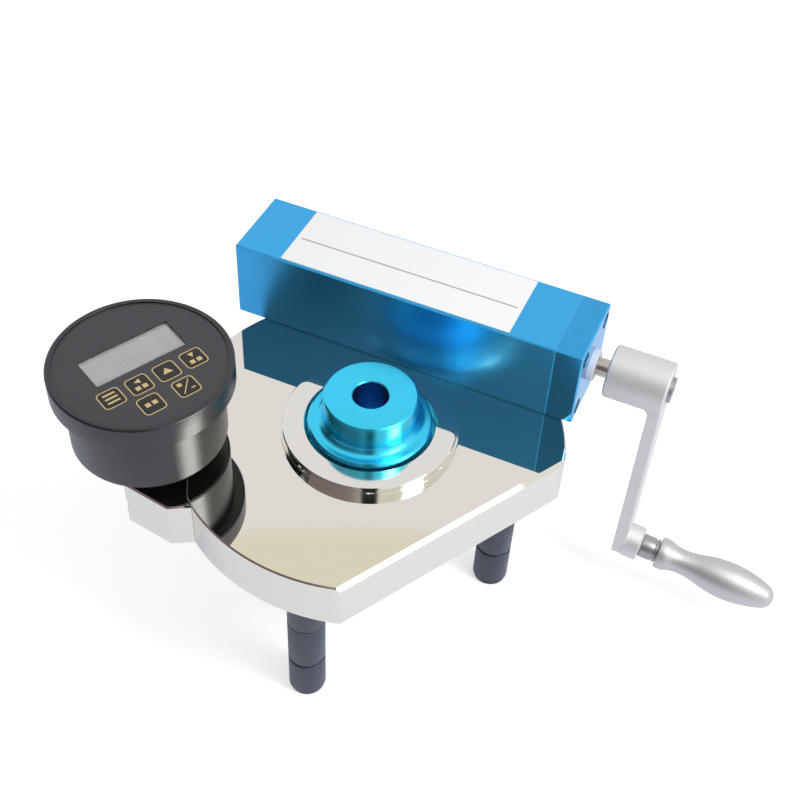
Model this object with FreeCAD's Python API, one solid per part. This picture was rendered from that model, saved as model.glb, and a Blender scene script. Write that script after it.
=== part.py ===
"""Pull-off adhesion tester: a hand-cranked hydraulic puller on three legs, with a digital gauge.

Millimetres. Z points up. The origin is on the pulling axis, level with the round plate's top face.
The pump block and the crank lie along X, and the block stands on the rear of the plate.
"""
import FreeCAD, Part
import math
import os

V = FreeCAD.Vector
X = V(1, 0, 0)
Y = V(0, 1, 0)
Z = V(0, 0, 1)

# Round plate
plateThickness = 29.5
plateEdge = 0.8
rearFlatInset = 6.0
rearFlatAngle = 90.0
lugFlatInset = 7.8
frontFlatInset = 27.5
frontFlatAngle = -30.0
frontFlatEdge = 2.0
stemHolePlay = 6.0
linerLip = 4.0

# Legs and feet
legHeight = 105.5
legInset = 27.3
legAngles = (-90.0, 30.0, 150.0)
legRadius = 10.2
legEdge = 0.5
postLength = 43.5
extensionLength = 32.5
legStudRadius = 5.0
legStudLength = 13.0
footTravel = 8.0
footStudGrip = 9.0
footGap = 0.3
footWaistRadius = 9.0
footWaistLength = 1.2
padThickness = 4.0
padRadius = 9.6
padInset = 2.0

# Gauge lug
lugHalfWidth = 45.5
lugLength = 30.9
lugWingLength = 5.0
lugShoulderLength = 9.3
lugNoseHalfWidth = 28.4
lugScrewSpread = 24.0
lugScrewRadius = 3.0
lugScrewDepth = 14.0

# Cylinder in the plate
linerFlangeWidth = 6.0
linerFlangeThickness = 2.6
linerWall = 5.0
linerFloor = 5.0
pistonRadius = 36.0
coverInset = 1.0
coverPlay = 1.5
coverThickness = 3.5
coverCut = 12.0
coverCornerRadius = 5.0
ringScrewSetOut = 2.7
ringScrewRadius = 1.25
ringScrewHeadRadius = 2.25
ringScrewHeadHeight = 2.5
ringScrewSocketWidth = 2.0
ringScrewRecess = 16.0
ringScrewCount = 4
ringScrewFirst = -165.0
ringScrewStep = 50.0

# Hollow piston
chamberHeight = 5.0
pistonHeadHeight = 11.0
pistonNeckStep = 3.4
pistonNeckHeight = 13.0
pistonEdge = 1.0
pistonShoulderWidth = 3.0
shoulderSweep = 5.0
puckTopHeight = 26.0
puckEdge = 1.0
pullBoreRadius = 9.3
pullBoreEdge = 0.6
stemRadius = 14.0
sealSection = 2.6
pistonSealHeight = 3.0
pistonSealRise = 3.0
stemSealHeight = 2.4

# Pump block and end cap
blockDepth = 47.0
blockHeight = 48.0
blockLeftX = -105.4
blockToLiner = 3.3
blockEdge = 0.8
capLength = 15.0
capScrewInset = 7.0
capScrewRadius = 2.5
capScrewHeadRadius = 4.25
capScrewHeadHeight = 5.0
capScrewSocketWidth = 4.0
capScrewGrip = 14.0
blockBoltRadius = 3.0
blockBoltHeadRadius = 5.0
blockBoltHeadHeight = 6.0
boltSocketWidth = 5.0
blockBoltGrip = 13.0
blockBoltInset = 8.0
frontBoltSpread = 62.0
rearBoltSpread = 20.0
labelThickness = 0.3
labelFromLeft = 27.2
labelFromRight = 25.8
labelMargin = 1.5

# Pump works, measured along X from the block's left face
endWall = 15.0
pressureBoreRadius = 10.0
sealSetBack = 2.0
glandPocketRadius = 14.0
plungerSealLength = 4.0
glandLength = 16.0
nutBoreRadius = 15.0
plungerRadius = 9.0
plungerTravel = 60.0
plungerTipGap = 3.0
plungerTipWall = 12.0
plungerHollowRadius = 5.6
nutLength = 15.0
nutEndGap = 1.0
nutKeyWidth = 6.0
nutKeyHeight = 2.5
screwRadius = 5.0
screwEndGap = 2.0
collarRadius = 11.0
collarLength = 4.0
collarGap = 5.0

# Thrust bearing and bush
bearingPocketRadius = 12.1
raceThickness = 2.4
rollerRadius = 1.5
rollerLength = 4.0
rollerCount = 10
rollerCircle = 8.6
rollerGap = 3.2
cageThickness = 1.4
bushRadius = 7.5
bushFlangeRadius = 9.0
bushFlangeLength = 3.5

# Oil ways
oilWayRadius = 2.0
oilWayRise = 2.5
oilPortFromTip = 1.0
fillFromWall = 35.0
plugRadius = 4.0
plugLength = 8.0
plugSocketWidth = 4.0
plugSocketDepth = 3.0
plugInset = 0.6
portSealRadius = 6.0
portSealWidth = 1.8
portSealDepth = 1.3

# Crank
hubRadius = 14.5
hubLength = 32.3
hubStandOff = 10.8
armThickness = 7.0
armWidth = 19.0
armBlend = 3.0
crankRadius = 121.9
crankHang = 2.4
bossRadius = 10.2
bossLength = 8.0
bossSink = 1.5
crankEdge = 0.8
shaftEndGap = 5.0
crankScrewRadius = 2.5
crankScrewLength = 16.0
crankScrewHeadRadius = 7.0
crankScrewHeadHeight = 2.0

# Grip
gripLean = 4.8
spindleRadius = 4.0
spindleNutRadius = 7.0
spindleNutLength = 10.3
spindleNutGroove = 0.8
spindleSeat = 13.0
gripGap = 0.4
gripLength = 69.8
gripCollarRadius = 9.4
gripCollarLength = 5.0
gripWaistRadius = 7.3
gripWaistAt = 14.0
gripBellyRadius = 11.1
gripBellyAt = 42.5
gripTipRadius = 7.5
gripCatchAt = 46.0
gripCatchRadius = 5.2
gripCatchLength = 2.0
gripCatchPlay = 0.4
spindleLength = 54.0

# Gauge
gaugeSetOut = 17.5
gaugeStemHexWidth = 27.0
gaugeStemHeight = 9.2
gaugeStemRadius = 8.0
gaugeStemDepth = 13.0
gaugeStemTop = 8.0
caseRadius = 39.8
caseWall = 2.5
caseFloor = 3.0
caseHeight = 40.6
caseEdge = 1.2
casePostRadius = 3.0
casePostInset = 7.8
casePostTurns = (90.0, 210.0, 330.0)
bezelThickness = 6.0
bezelWall = 1.8
bezelOverlap = 5.8
bezelLip = 1.2
bezelLipThickness = 0.8
bezelEdge = 0.8
gasketThickness = 1.0
gasketSeat = 2.2
facePlateThickness = 2.0
facePlateSkirt = 4.0
faceTurn = 62.8
displayLength = 50.2
displayWidth = 20.0
displayShift = (0.2, 7.7)
displayLensThickness = 1.4
displayInset = 0.3
lcdBorder = 2.0
boardGap = 0.8
boardThickness = 1.6
keySize = 10.4
keyCorner = 1.8
keyLip = 0.7
keyLipThickness = 0.6
keyProud = 0.3
keyTravel = 0.4
keySpread = 15.2
keyRow = -12.6
lowerKeySpread = 19.2
lowerKeyRow = -26.9
keyShift = -0.4
switchSize = 6.0
cellRadius = 5.2
cellLength = 44.0
cellSpread = 12.0
sensorRadius = 13.0
sensorHeight = 18.0
bezelScrewRadius = 1.5
bezelScrewTurns = (100.0, 220.0)

# Clearances on each side
runFit = 0.05
screwFit = 0.05
sealFit = 0.03
bodyGap = 0.3
keyPlay = 0.15

# Sizes that follow from the piston, outwards
linerBarrelRadius = pistonRadius + linerWall
linerFlangeRadius = linerBarrelRadius + linerFlangeWidth
ringScrewCircle = linerBarrelRadius + ringScrewSetOut
coverRadius = linerFlangeRadius - coverInset
pistonNeckRadius = pistonRadius - pistonNeckStep
coverOpeningRadius = pistonNeckRadius + coverPlay
pistonShoulderRadius = pistonNeckRadius - pistonShoulderWidth
puckRadius = pistonShoulderRadius - shoulderSweep
stemHoleRadius = stemRadius + stemHolePlay
blockFrontY = linerFlangeRadius + blockToLiner
blockRearY = blockFrontY + blockDepth
plateRadius = blockRearY + rearFlatInset
frontFlatDistance = plateRadius - frontFlatInset
lugFlatDistance = plateRadius - lugFlatInset
legCircleRadius = plateRadius - legInset
lugReach = lugFlatDistance + lugLength
lugShoulderReach = lugFlatDistance + lugShoulderLength
gaugeReach = lugFlatDistance + gaugeSetOut

# Sizes that follow from the gauge's case
bezelRadius = caseRadius + bezelThickness
bezelPocketRadius = bezelRadius - bezelWall
bezelOpening = bezelPocketRadius - bezelLip
gasketBoreRadius = caseRadius - gasketSeat
casePostCircle = caseRadius - casePostInset
boardRadius = caseRadius - caseWall - boardGap

# Places along the pump, each behind the one before it
plungerTip = endWall + plungerTipGap + plungerTravel
sealPocketStart = plungerTip + sealSetBack
glandStart = sealPocketStart + plungerSealLength
nutBoreStart = glandStart + glandLength
nutStart = nutBoreStart + nutEndGap + plungerTravel
plungerLength = nutStart - plungerTip
screwEnd = nutStart - plungerTravel - screwEndGap
blockLength = nutStart + nutLength + collarGap + collarLength
labelLength = blockLength - labelFromLeft - labelFromRight
labelWidth = blockDepth - 2 * labelMargin
footStudLength = footTravel + footStudGrip

# Levels and places that follow from the sizes above
plateTop = 0.0
plateBottom = plateTop - plateThickness
floor = plateBottom - legHeight
linerBottom = plateBottom + linerLip
chamberFloor = linerBottom + linerFloor
flangeTop = plateTop + linerFlangeThickness
pistonBottom = chamberFloor + chamberHeight
oilWayZ = chamberFloor + oilWayRise
blockRightX = blockLeftX + blockLength
capRightX = blockRightX + capLength
axisY = blockFrontY + blockDepth / 2
axisZ = plateTop + blockHeight / 2
oilPortX = blockLeftX + plungerTip - oilPortFromTip
oilPortAngle = math.degrees(math.atan2(axisY, oilPortX))
hubLeftX = capRightX + hubStandOff
hubRightX = hubLeftX + hubLength
bossRightX = hubRightX + bossLength
gripZ = axisZ - crankRadius
gripLeftX = bossRightX + spindleNutLength + gripGap
lugAngle = -150.0
gaugeX = gaugeReach * math.cos(math.radians(lugAngle))
gaugeY = gaugeReach * math.sin(math.radians(lugAngle))
caseBottom = plateTop + gaugeStemHeight
caseTop = caseBottom + caseHeight
faceUnder = caseTop + gasketThickness + facePlateSkirt
faceTop = faceUnder + facePlateThickness
switchTop = faceUnder - keyLipThickness - keyTravel - runFit
boardTop = faceUnder - facePlateSkirt - gasketThickness + boardThickness


def cylinder(radius, low, high, at=V(0, 0, 0)):
    """An upright cylinder between two levels."""
    return Part.makeCylinder(radius, high - low, V(at.x, at.y, low), Z)


def rod(radius, left, right, y=axisY, z=axisZ):
    """A cylinder along X."""
    return Part.makeCylinder(radius, right - left, V(left, y, z), X)


def tube(outer, inner, low, high, at=V(0, 0, 0)):
    return cylinder(outer, low, high, at).cut(cylinder(inner, low, high, at))


def rodTube(outer, inner, left, right, y=axisY, z=axisZ):
    return rod(outer, left, right, y, z).cut(rod(inner, left, right, y, z))


def box(x0, x1, y0, y1, z0, z1):
    return Part.makeBox(x1 - x0, y1 - y0, z1 - z0, V(x0, y0, z0))


def polar(radius, angle, z=0.0):
    a = math.radians(angle)
    return V(radius * math.cos(a), radius * math.sin(a), z)


def radialHole(radius, inner, outer, angle, z):
    """A hole that points away from the Z axis."""
    direction = polar(1.0, angle)
    return Part.makeCylinder(radius, outer - inner, polar(inner, angle, z), direction)


def prism(points, low, high):
    wire = Part.makePolygon([V(x, y, low) for x, y in points + points[:1]])
    return Part.Face(wire).extrude(V(0, 0, high - low))


def hexagon(width, base, direction, length):
    """A hexagonal bar, width across flats."""
    corner = width / math.sqrt(3)
    points = [polar(corner, 60.0 * n) for n in range(6)]
    wire = Part.makePolygon(points + points[:1])
    bar = Part.Face(wire).extrude(Z * length)
    bar.Placement = FreeCAD.Placement(base, FreeCAD.Rotation(Z, direction))
    return bar


def revolved(profile, at=V(0, 0, 0), axis=Z):
    """Turns a closed list of (radius, height) points, or edges, about an axis."""
    wire = Part.makePolygon([V(r, 0, h) for r, h in profile + profile[:1]])
    solid = Part.Face(wire).revolve(V(0, 0, 0), Z, 360)
    solid.Placement = FreeCAD.Placement(at, FreeCAD.Rotation(Z, axis))
    return solid


def onFace(u, v, z):
    """A point of the gauge's face, in the face's own turned directions."""
    a = math.radians(faceTurn)
    x = gaugeX + u * math.cos(a) - v * math.sin(a)
    y = gaugeY + u * math.sin(a) + v * math.cos(a)
    return V(x, y, z)


def faceBlock(u, v, length, width, low, high, corner=0.0):
    """A block with upright edges that are rounded, square to the gauge's face."""
    block = Part.makeBox(length, width, high - low, V(-length / 2, -width / 2, 0))
    if corner:
        upright = [e for e in block.Edges if abs(e.BoundBox.ZLength - (high - low)) < 1e-6]
        block = block.makeFillet(corner, upright)
    block.Placement = FreeCAD.Placement(onFace(u, v, low), FreeCAD.Rotation(Z, faceTurn))
    return block


def edgesAt(shape, z):
    """The edges that lie whole at one level."""
    return [e for e in shape.Edges if abs(e.BoundBox.ZMin - z) + abs(e.BoundBox.ZMax - z) < 1e-5]


def socketScrew(radius, length, headRadius, headHeight, socket):
    """A socket screw along -Z from the seat of its head, which is at the origin."""
    head = Part.makeCylinder(headRadius, headHeight, V(0, 0, 0), Z)
    shank = Part.makeCylinder(radius, length, V(0, 0, -length), Z)
    recess = hexagon(socket, V(0, 0, headHeight / 2), Z, headHeight)
    return head.fuse(shank).removeSplitter().cut(recess)


def placed(shape, at, direction):
    """A copy whose +Z points along the direction."""
    copy = shape.copy()
    copy.Placement = FreeCAD.Placement(at, FreeCAD.Rotation(Z, direction))
    return copy


def legPlaces():
    return [polar(legCircleRadius, angle) for angle in legAngles]


def blockBoltPlaces():
    front = blockFrontY + blockBoltInset
    rear = blockRearY - blockBoltInset
    places = [(-frontBoltSpread, front), (frontBoltSpread, front)]
    return places + [(-rearBoltSpread, rear), (rearBoltSpread, rear)]


def ringScrewPlaces():
    angles = [ringScrewFirst + ringScrewStep * n for n in range(ringScrewCount)]
    return [polar(ringScrewCircle, angle) for angle in angles]


def capScrewPlaces():
    dy = blockDepth / 2 - capScrewInset
    dz = blockHeight / 2 - capScrewInset
    return [(axisY + sy * dy, axisZ + sz * dz) for sy in (-1, 1) for sz in (-1, 1)]


def keyPlaces():
    upper = [(keyShift + keySpread * (n - 1.5), keyRow) for n in range(4)]
    lower = [(keyShift + lowerKeySpread * (n - 0.5), lowerKeyRow) for n in range(2)]
    return upper + lower


def portSealGroove(at, direction):
    return Part.makeCylinder(portSealRadius, portSealDepth, at - direction * portSealDepth, direction)


# Base

def basePlate():
    plate = cylinder(plateRadius, plateBottom, plateTop)
    reach = 2 * plateRadius
    flats = (
        (frontFlatDistance, frontFlatAngle),
        (lugFlatDistance, lugAngle),
        (blockRearY, rearFlatAngle),
    )
    for distance, angle in flats:
        waste = Part.makeBox(reach, 2 * reach, plateThickness, V(distance, -reach, plateBottom))
        waste.rotate(V(0, 0, 0), Z, angle)
        plate = plate.cut(waste)
    plate = plate.makeChamfer(plateEdge, edgesAt(plate, plateTop) + edgesAt(plate, plateBottom))
    plate = plate.cut(frontFlatWaste(reach))
    plate = plate.cut(cylinder(linerBarrelRadius + screwFit, linerBottom, plateTop))
    plate = plate.cut(cylinder(stemHoleRadius, plateBottom, linerBottom))
    for at in legPlaces():
        plate = plate.cut(cylinder(legStudRadius + screwFit, plateBottom, plateBottom + legStudLength + 1, at))
    for x, y in blockBoltPlaces():
        plate = plate.cut(cylinder(blockBoltRadius + bodyGap, plateBottom, plateTop, V(x, y, 0)))
        headTop = plateBottom + blockBoltHeadHeight + plugInset
        plate = plate.cut(cylinder(blockBoltHeadRadius + bodyGap, plateBottom, headTop, V(x, y, 0)))
    for at in ringScrewPlaces():
        plate = plate.cut(cylinder(ringScrewRadius + screwFit, plateBottom, plateTop, at))
        recessTop = plateBottom + ringScrewRecess
        plate = plate.cut(cylinder(ringScrewHeadRadius + bodyGap, plateBottom, recessTop, at))
    inner = linerBarrelRadius
    plate = plate.cut(radialHole(oilWayRadius, inner, lugFlatDistance, lugAngle, oilWayZ))
    plate = plate.cut(portSealGroove(polar(lugFlatDistance, lugAngle, oilWayZ), polar(1.0, lugAngle)))
    plate = plate.cut(radialHole(oilWayRadius, inner, plateRadius, oilPortAngle, oilWayZ))
    plugHole = plateRadius - plugLength - 2 * plugInset
    plate = plate.cut(radialHole(plugRadius + screwFit, plugHole, plateRadius + 1, oilPortAngle, oilWayZ))
    port = V(oilPortX, axisY, plateTop)
    plate = plate.cut(cylinder(oilWayRadius, oilWayZ, plateTop, port))
    plate = plate.cut(portSealGroove(port, Z))
    for side in (-1, 1):
        plate = plate.cut(lugScrewHole(side, lugScrewRadius + screwFit, lugFlatDistance - lugScrewDepth - 1))
    return plate


def frontFlatWaste(reach):
    """What the wide chamfer along the front flat takes off the plate."""
    start = frontFlatDistance - frontFlatEdge
    corners = [
        V(start, -reach, plateTop), V(start + reach, -reach, plateTop),
        V(start + reach, -reach, plateTop - reach),
    ]
    waste = Part.Face(Part.makePolygon(corners + corners[:1])).extrude(Y * 2 * reach)
    waste.rotate(V(0, 0, 0), Z, frontFlatAngle)
    return waste


def lugScrewPlace(side, reach):
    a = math.radians(lugAngle)
    across = V(-math.sin(a), math.cos(a), 0)
    return polar(reach, lugAngle, plateBottom + plateThickness / 2) + across * side * lugScrewSpread


def lugScrewHole(side, radius, start):
    return Part.makeCylinder(radius, lugReach - start, lugScrewPlace(side, start), polar(1.0, lugAngle))


def gaugeLug():
    """Block on the plate's flat, with short wings that follow the plate's round side."""
    half = [
        (lugFlatDistance - lugWingLength, lugHalfWidth),
        (lugShoulderReach, lugHalfWidth),
        (lugReach, lugNoseHalfWidth),
    ]
    outline = half + [(u, -v) for u, v in reversed(half)]
    lug = prism(outline, plateBottom, plateTop)
    lug = lug.makeChamfer(plateEdge, edgesAt(lug, plateTop) + edgesAt(lug, plateBottom))
    reach = 2 * plateRadius
    taken = cylinder(plateRadius + screwFit, plateBottom, plateTop)
    taken = taken.cut(box(lugFlatDistance, reach, -reach, reach, plateBottom, plateTop))
    lug = lug.cut(taken)
    lug.rotate(V(0, 0, 0), Z, lugAngle)
    stemPlace = polar(gaugeReach, lugAngle)
    lug = lug.cut(cylinder(gaugeStemRadius + screwFit, plateTop - gaugeStemDepth - 1, plateTop, stemPlace))
    lug = lug.cut(cylinder(oilWayRadius, oilWayZ, plateTop, stemPlace))
    lug = lug.cut(cylinder(gaugeStemRadius + portSealWidth, plateTop - portSealDepth, plateTop, stemPlace))
    lug = lug.cut(radialHole(oilWayRadius, lugFlatDistance, gaugeReach, lugAngle, oilWayZ))
    for side in (-1, 1):
        lug = lug.cut(lugScrewHole(side, lugScrewRadius + screwFit, lugFlatDistance))
        seat = lugReach - 2 * lugScrewRadius
        lug = lug.cut(lugScrewHole(side, blockBoltHeadRadius + bodyGap, seat))
    return lug


def lugScrews():
    seat = lugReach - 2 * lugScrewRadius
    length = seat - lugFlatDistance + lugScrewDepth
    headHeight = 2 * lugScrewRadius - plugInset
    screw = socketScrew(lugScrewRadius, length, blockBoltHeadRadius, headHeight, boltSocketWidth)
    outward = polar(1.0, lugAngle)
    return Part.makeCompound([placed(screw, lugScrewPlace(side, seat), outward) for side in (-1, 1)])


def portSeals():
    """Square-section seal rings where the oil crosses from one piece to the next."""
    places = [
        (V(oilPortX, axisY, plateTop - portSealDepth), Z),
        (polar(lugFlatDistance - portSealDepth, lugAngle, oilWayZ), polar(1.0, lugAngle)),
    ]
    rings = []
    for at, direction in places:
        ring = tube(portSealRadius - sealFit, portSealRadius - portSealWidth, 0, portSealDepth)
        rings.append(placed(ring, at, direction))
    outer = gaugeStemRadius + portSealWidth - sealFit
    stemPlace = polar(gaugeReach, lugAngle)
    rings.append(tube(outer, gaugeStemRadius + screwFit, plateTop - portSealDepth, plateTop, stemPlace))
    return Part.makeCompound(rings)


def cylinderLiner():
    barrel = cylinder(linerBarrelRadius, linerBottom, plateTop)
    flange = cylinder(linerFlangeRadius, plateTop, flangeTop)
    flange = flange.makeChamfer(pistonEdge / 2, edgesAt(flange, flangeTop))
    liner = barrel.fuse(flange)
    liner = liner.cut(cylinder(pistonRadius + runFit, chamberFloor, flangeTop))
    liner = liner.cut(cylinder(stemRadius + runFit, linerBottom, chamberFloor))
    sealLow = linerBottom + (linerFloor - stemSealHeight) / 2
    liner = liner.cut(cylinder(stemRadius + sealSection, sealLow, sealLow + stemSealHeight))
    for angle in (lugAngle, oilPortAngle):
        liner = liner.cut(radialHole(oilWayRadius, pistonRadius - 1, linerBarrelRadius + 1, angle, oilWayZ))
    for at in ringScrewPlaces():
        liner = liner.cut(cylinder(ringScrewRadius + screwFit, plateTop, flangeTop, at))
    return liner


def coverRing():
    ring = tube(coverRadius, coverOpeningRadius, flangeTop, flangeTop + coverThickness)
    reach = 2 * coverRadius
    ring = ring.cut(box(-reach, reach, coverCut, reach, flangeTop, flangeTop + coverThickness))
    outer = [
        e for e in ring.Edges
        if abs(e.BoundBox.ZLength - coverThickness) < 1e-6
        and math.hypot(e.CenterOfMass.x, e.CenterOfMass.y) > coverRadius - 0.5
    ]
    ring = ring.makeFillet(coverCornerRadius, outer)
    ring = ring.makeChamfer(pistonEdge / 2, edgesAt(ring, flangeTop + coverThickness))
    for at in ringScrewPlaces():
        threadTop = flangeTop + coverThickness - 1.2
        ring = ring.cut(cylinder(ringScrewRadius + screwFit, flangeTop, threadTop, at))
    return ring


def ringScrews():
    seat = plateBottom + ringScrewRecess
    length = flangeTop + coverThickness - 1.5 - seat
    screw = socketScrew(ringScrewRadius, length, ringScrewHeadRadius, ringScrewHeadHeight, ringScrewSocketWidth)
    return Part.makeCompound([placed(screw, V(at.x, at.y, seat), -Z) for at in ringScrewPlaces()])


def stemSeal():
    low = linerBottom + (linerFloor - stemSealHeight) / 2
    return tube(stemRadius + sealSection - sealFit, stemRadius + runFit, low, low + stemSealHeight)


# Legs

def legPost(at):
    low = plateBottom - postLength
    post = cylinder(legRadius, low, plateBottom, at)
    post = post.makeChamfer(legEdge, edgesAt(post, low))
    post = post.fuse(cylinder(legStudRadius, plateBottom, plateBottom + legStudLength, at))
    return post.cut(cylinder(legStudRadius + screwFit, low, low + legStudLength + 1, at))


def legExtension(at):
    high = plateBottom - postLength
    low = high - extensionLength
    piece = cylinder(legRadius, low, high, at)
    piece = piece.makeChamfer(legEdge, edgesAt(piece, high) + edgesAt(piece, low))
    piece = piece.fuse(cylinder(legStudRadius, high, high + legStudLength, at))
    return piece.cut(cylinder(legStudRadius + runFit, low, low + footStudLength + 1, at))


def foot(at):
    """A levelling foot: a waisted barrel with its stud up and a rubber pad let into its sole."""
    high = plateBottom - postLength - extensionLength - footGap
    low = floor + padThickness - padInset
    waist = high - footWaistLength
    barrel = cylinder(legRadius, low, waist, at)
    barrel = barrel.makeChamfer(legEdge, edgesAt(barrel, waist) + edgesAt(barrel, low))
    barrel = barrel.fuse(cylinder(footWaistRadius, waist, high, at))
    barrel = barrel.fuse(cylinder(legStudRadius, high, high + footStudLength, at))
    return barrel.removeSplitter().cut(cylinder(padRadius - 1, low, floor + padThickness, at))


def footPad(at):
    seat = floor + padThickness - padInset
    tread = cylinder(padRadius, floor, seat, at)
    tread = tread.makeChamfer(legEdge, edgesAt(tread, floor))
    plug = cylinder(padRadius - 1 - sealFit, seat, floor + padThickness, at)
    return tread.fuse(plug).removeSplitter()


# Pump

def pumpBlock():
    block = box(blockLeftX, blockRightX, blockFrontY, blockRearY, plateTop, plateTop + blockHeight)
    long = [e for e in block.Edges if e.BoundBox.XLength > blockLength / 2]
    left = [e for e in block.Edges if e.BoundBox.XMax < blockLeftX + 1e-6]
    block = block.makeChamfer(blockEdge, long + left)
    block = block.cut(rod(pressureBoreRadius, blockLeftX + endWall, blockLeftX + sealPocketStart))
    block = block.cut(rod(glandPocketRadius, blockLeftX + sealPocketStart, blockLeftX + nutBoreStart))
    block = block.cut(rod(nutBoreRadius, blockLeftX + nutBoreStart, blockRightX))
    keyHalf = nutKeyWidth / 2 + runFit
    keyDeep = nutBoreRadius + nutKeyHeight + bodyGap
    block = block.cut(box(
        blockLeftX + nutBoreStart, blockRightX, axisY - keyHalf, axisY + keyHalf, axisZ - keyDeep, axisZ))
    block = block.cut(cylinder(oilWayRadius, plateTop, axisZ, V(oilPortX, axisY, 0)))
    fillX = blockLeftX + endWall + fillFromWall
    block = block.cut(Part.makeCylinder(plugRadius + screwFit, blockDepth / 2, V(fillX, axisY, axisZ), Y))
    for y, z in capScrewPlaces():
        block = block.cut(rod(capScrewRadius + screwFit, blockRightX - capScrewGrip - 1, blockRightX, y, z))
    for x, y in blockBoltPlaces():
        threadTop = plateTop + blockBoltGrip + 1
        block = block.cut(cylinder(blockBoltRadius + screwFit, plateTop, threadTop, V(x, y, 0)))
    return block


def endCap():
    cap = box(blockRightX, capRightX, blockFrontY, blockRearY, plateTop, plateTop + blockHeight)
    long = [e for e in cap.Edges if e.BoundBox.XLength > capLength / 2]
    right = [e for e in cap.Edges if e.BoundBox.XMin > capRightX - 1e-6]
    cap = cap.makeChamfer(blockEdge, long + right)
    cap = cap.cut(rod(bearingPocketRadius, blockRightX, blockRightX + bearingDepth()))
    cap = cap.cut(rod(bushRadius + screwFit, blockRightX, capRightX))
    for y, z in capScrewPlaces():
        cap = cap.cut(rod(capScrewRadius + screwFit, blockRightX, capRightX, y, z))
        seat = capRightX - capScrewHeadHeight - plugInset
        cap = cap.cut(rod(capScrewHeadRadius + bodyGap, seat, capRightX, y, z))
    return cap


def bearingDepth():
    return 2 * raceThickness + rollerGap


def capScrews():
    seat = capRightX - capScrewHeadHeight - plugInset
    length = seat - blockRightX + capScrewGrip
    screw = socketScrew(capScrewRadius, length, capScrewHeadRadius, capScrewHeadHeight, capScrewSocketWidth)
    return Part.makeCompound([placed(screw, V(seat, y, z), X) for y, z in capScrewPlaces()])


def blockBolts():
    seat = plateBottom + blockBoltHeadHeight + plugInset
    length = plateTop + blockBoltGrip - seat
    bolt = socketScrew(blockBoltRadius, length, blockBoltHeadRadius, blockBoltHeadHeight, boltSocketWidth)
    return Part.makeCompound([placed(bolt, V(x, y, seat), -Z) for x, y in blockBoltPlaces()])


def oilPlugs():
    """Set-screw plugs of the drilled channel in the plate and of the fill hole behind the block."""
    plug = Part.makeCylinder(plugRadius, plugLength, V(0, 0, -plugLength), Z)
    plug = plug.cut(hexagon(plugSocketWidth, V(0, 0, -plugSocketDepth), Z, plugSocketDepth))
    channelEnd = polar(plateRadius - 2 * plugInset, oilPortAngle, oilWayZ)
    fillEnd = V(blockLeftX + endWall + fillFromWall, blockRearY - plugInset, axisZ)
    return Part.makeCompound([
        placed(plug, channelEnd, polar(1.0, oilPortAngle)),
        placed(plug, fillEnd, Y),
    ])


def nameLabel():
    left = blockLeftX + labelFromLeft
    front = blockFrontY + labelMargin
    top = plateTop + blockHeight
    return box(left, left + labelLength, front, front + labelWidth, top, top + labelThickness)


def plungerSeal():
    left = blockLeftX + sealPocketStart
    return rodTube(glandPocketRadius - sealFit, plungerRadius + runFit, left, left + plungerSealLength)


def plungerGland():
    left = blockLeftX + glandStart
    return rodTube(glandPocketRadius - screwFit, plungerRadius + runFit, left, left + glandLength)


def plunger():
    left = blockLeftX + plungerTip
    right = left + plungerLength
    body = rod(plungerRadius, left, right)
    tip = [e for e in body.Edges if e.BoundBox.XMax < left + 1e-6]
    body = body.makeChamfer(pistonEdge, tip)
    return body.cut(rod(plungerHollowRadius, left + plungerTipWall, right))


def driveNut():
    left = blockLeftX + nutStart
    nut = rod(nutBoreRadius - runFit, left, left + nutLength)
    half = nutKeyWidth / 2
    key = box(left, left + nutLength, axisY - half, axisY + half, axisZ - nutBoreRadius - nutKeyHeight, axisZ)
    return nut.fuse(key).removeSplitter().cut(rod(screwRadius + runFit, left, left + nutLength))


def leadScrew():
    """The screw, its thrust collar and the shaft that carries the crank, turned from one bar."""
    end = hubRightX - shaftEndGap
    bar = rod(screwRadius, blockLeftX + screwEnd, end)
    collar = rod(collarRadius, blockRightX - collarLength, blockRightX)
    bar = bar.fuse(collar)
    tip = end - crankScrewLength
    return bar.cut(rod(crankScrewRadius + screwFit, tip, end))


def thrustRace(left, outer, inner):
    return rodTube(outer, inner, left, left + raceThickness)


def thrustRollers():
    """Ten short rollers that lie like spokes, in their cage."""
    middle = blockRightX + raceThickness + rollerGap / 2
    inner = rollerCircle - rollerLength / 2
    spokes = [math.radians(360.0 / rollerCount * n) for n in range(rollerCount)]
    cage = rodTube(
        rollerCircle + rollerLength / 2 + 0.8, inner - 0.8,
        middle - cageThickness / 2, middle + cageThickness / 2)
    rollers = []
    for a in spokes:
        out = V(0, math.cos(a), math.sin(a))
        base = V(middle, axisY, axisZ) + out * inner
        rollers.append(Part.makeCylinder(rollerRadius, rollerLength, base, out))
        window = Part.makeCylinder(rollerRadius + 0.1, rollerLength + 0.2, base - out * 0.1, out)
        cage = cage.cut(window)
    return Part.makeCompound([cage] + rollers)


def shaftBush():
    seat = blockRightX + bearingDepth()
    sleeve = rod(bushRadius, seat, capRightX)
    flange = rod(bushFlangeRadius, capRightX, capRightX + bushFlangeLength)
    rim = [e for e in flange.Edges if e.BoundBox.XMin > capRightX + bushFlangeLength - 1e-6]
    flange = flange.makeChamfer(blockEdge, rim)
    return sleeve.fuse(flange).cut(rod(screwRadius + runFit, seat, capRightX + bushFlangeLength))


# Crank

def leaned(shape):
    """Tips what sits on the arm's end outwards and down, about the arm's outer face."""
    shape.rotate(V(hubRightX, axisY, gripZ), Y, gripLean)
    return shape


def hung(shape):
    """Swings the crank a little forward of straight down."""
    shape.rotate(V(hubRightX, axisY, axisZ), X, -crankHang)
    return shape


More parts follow.
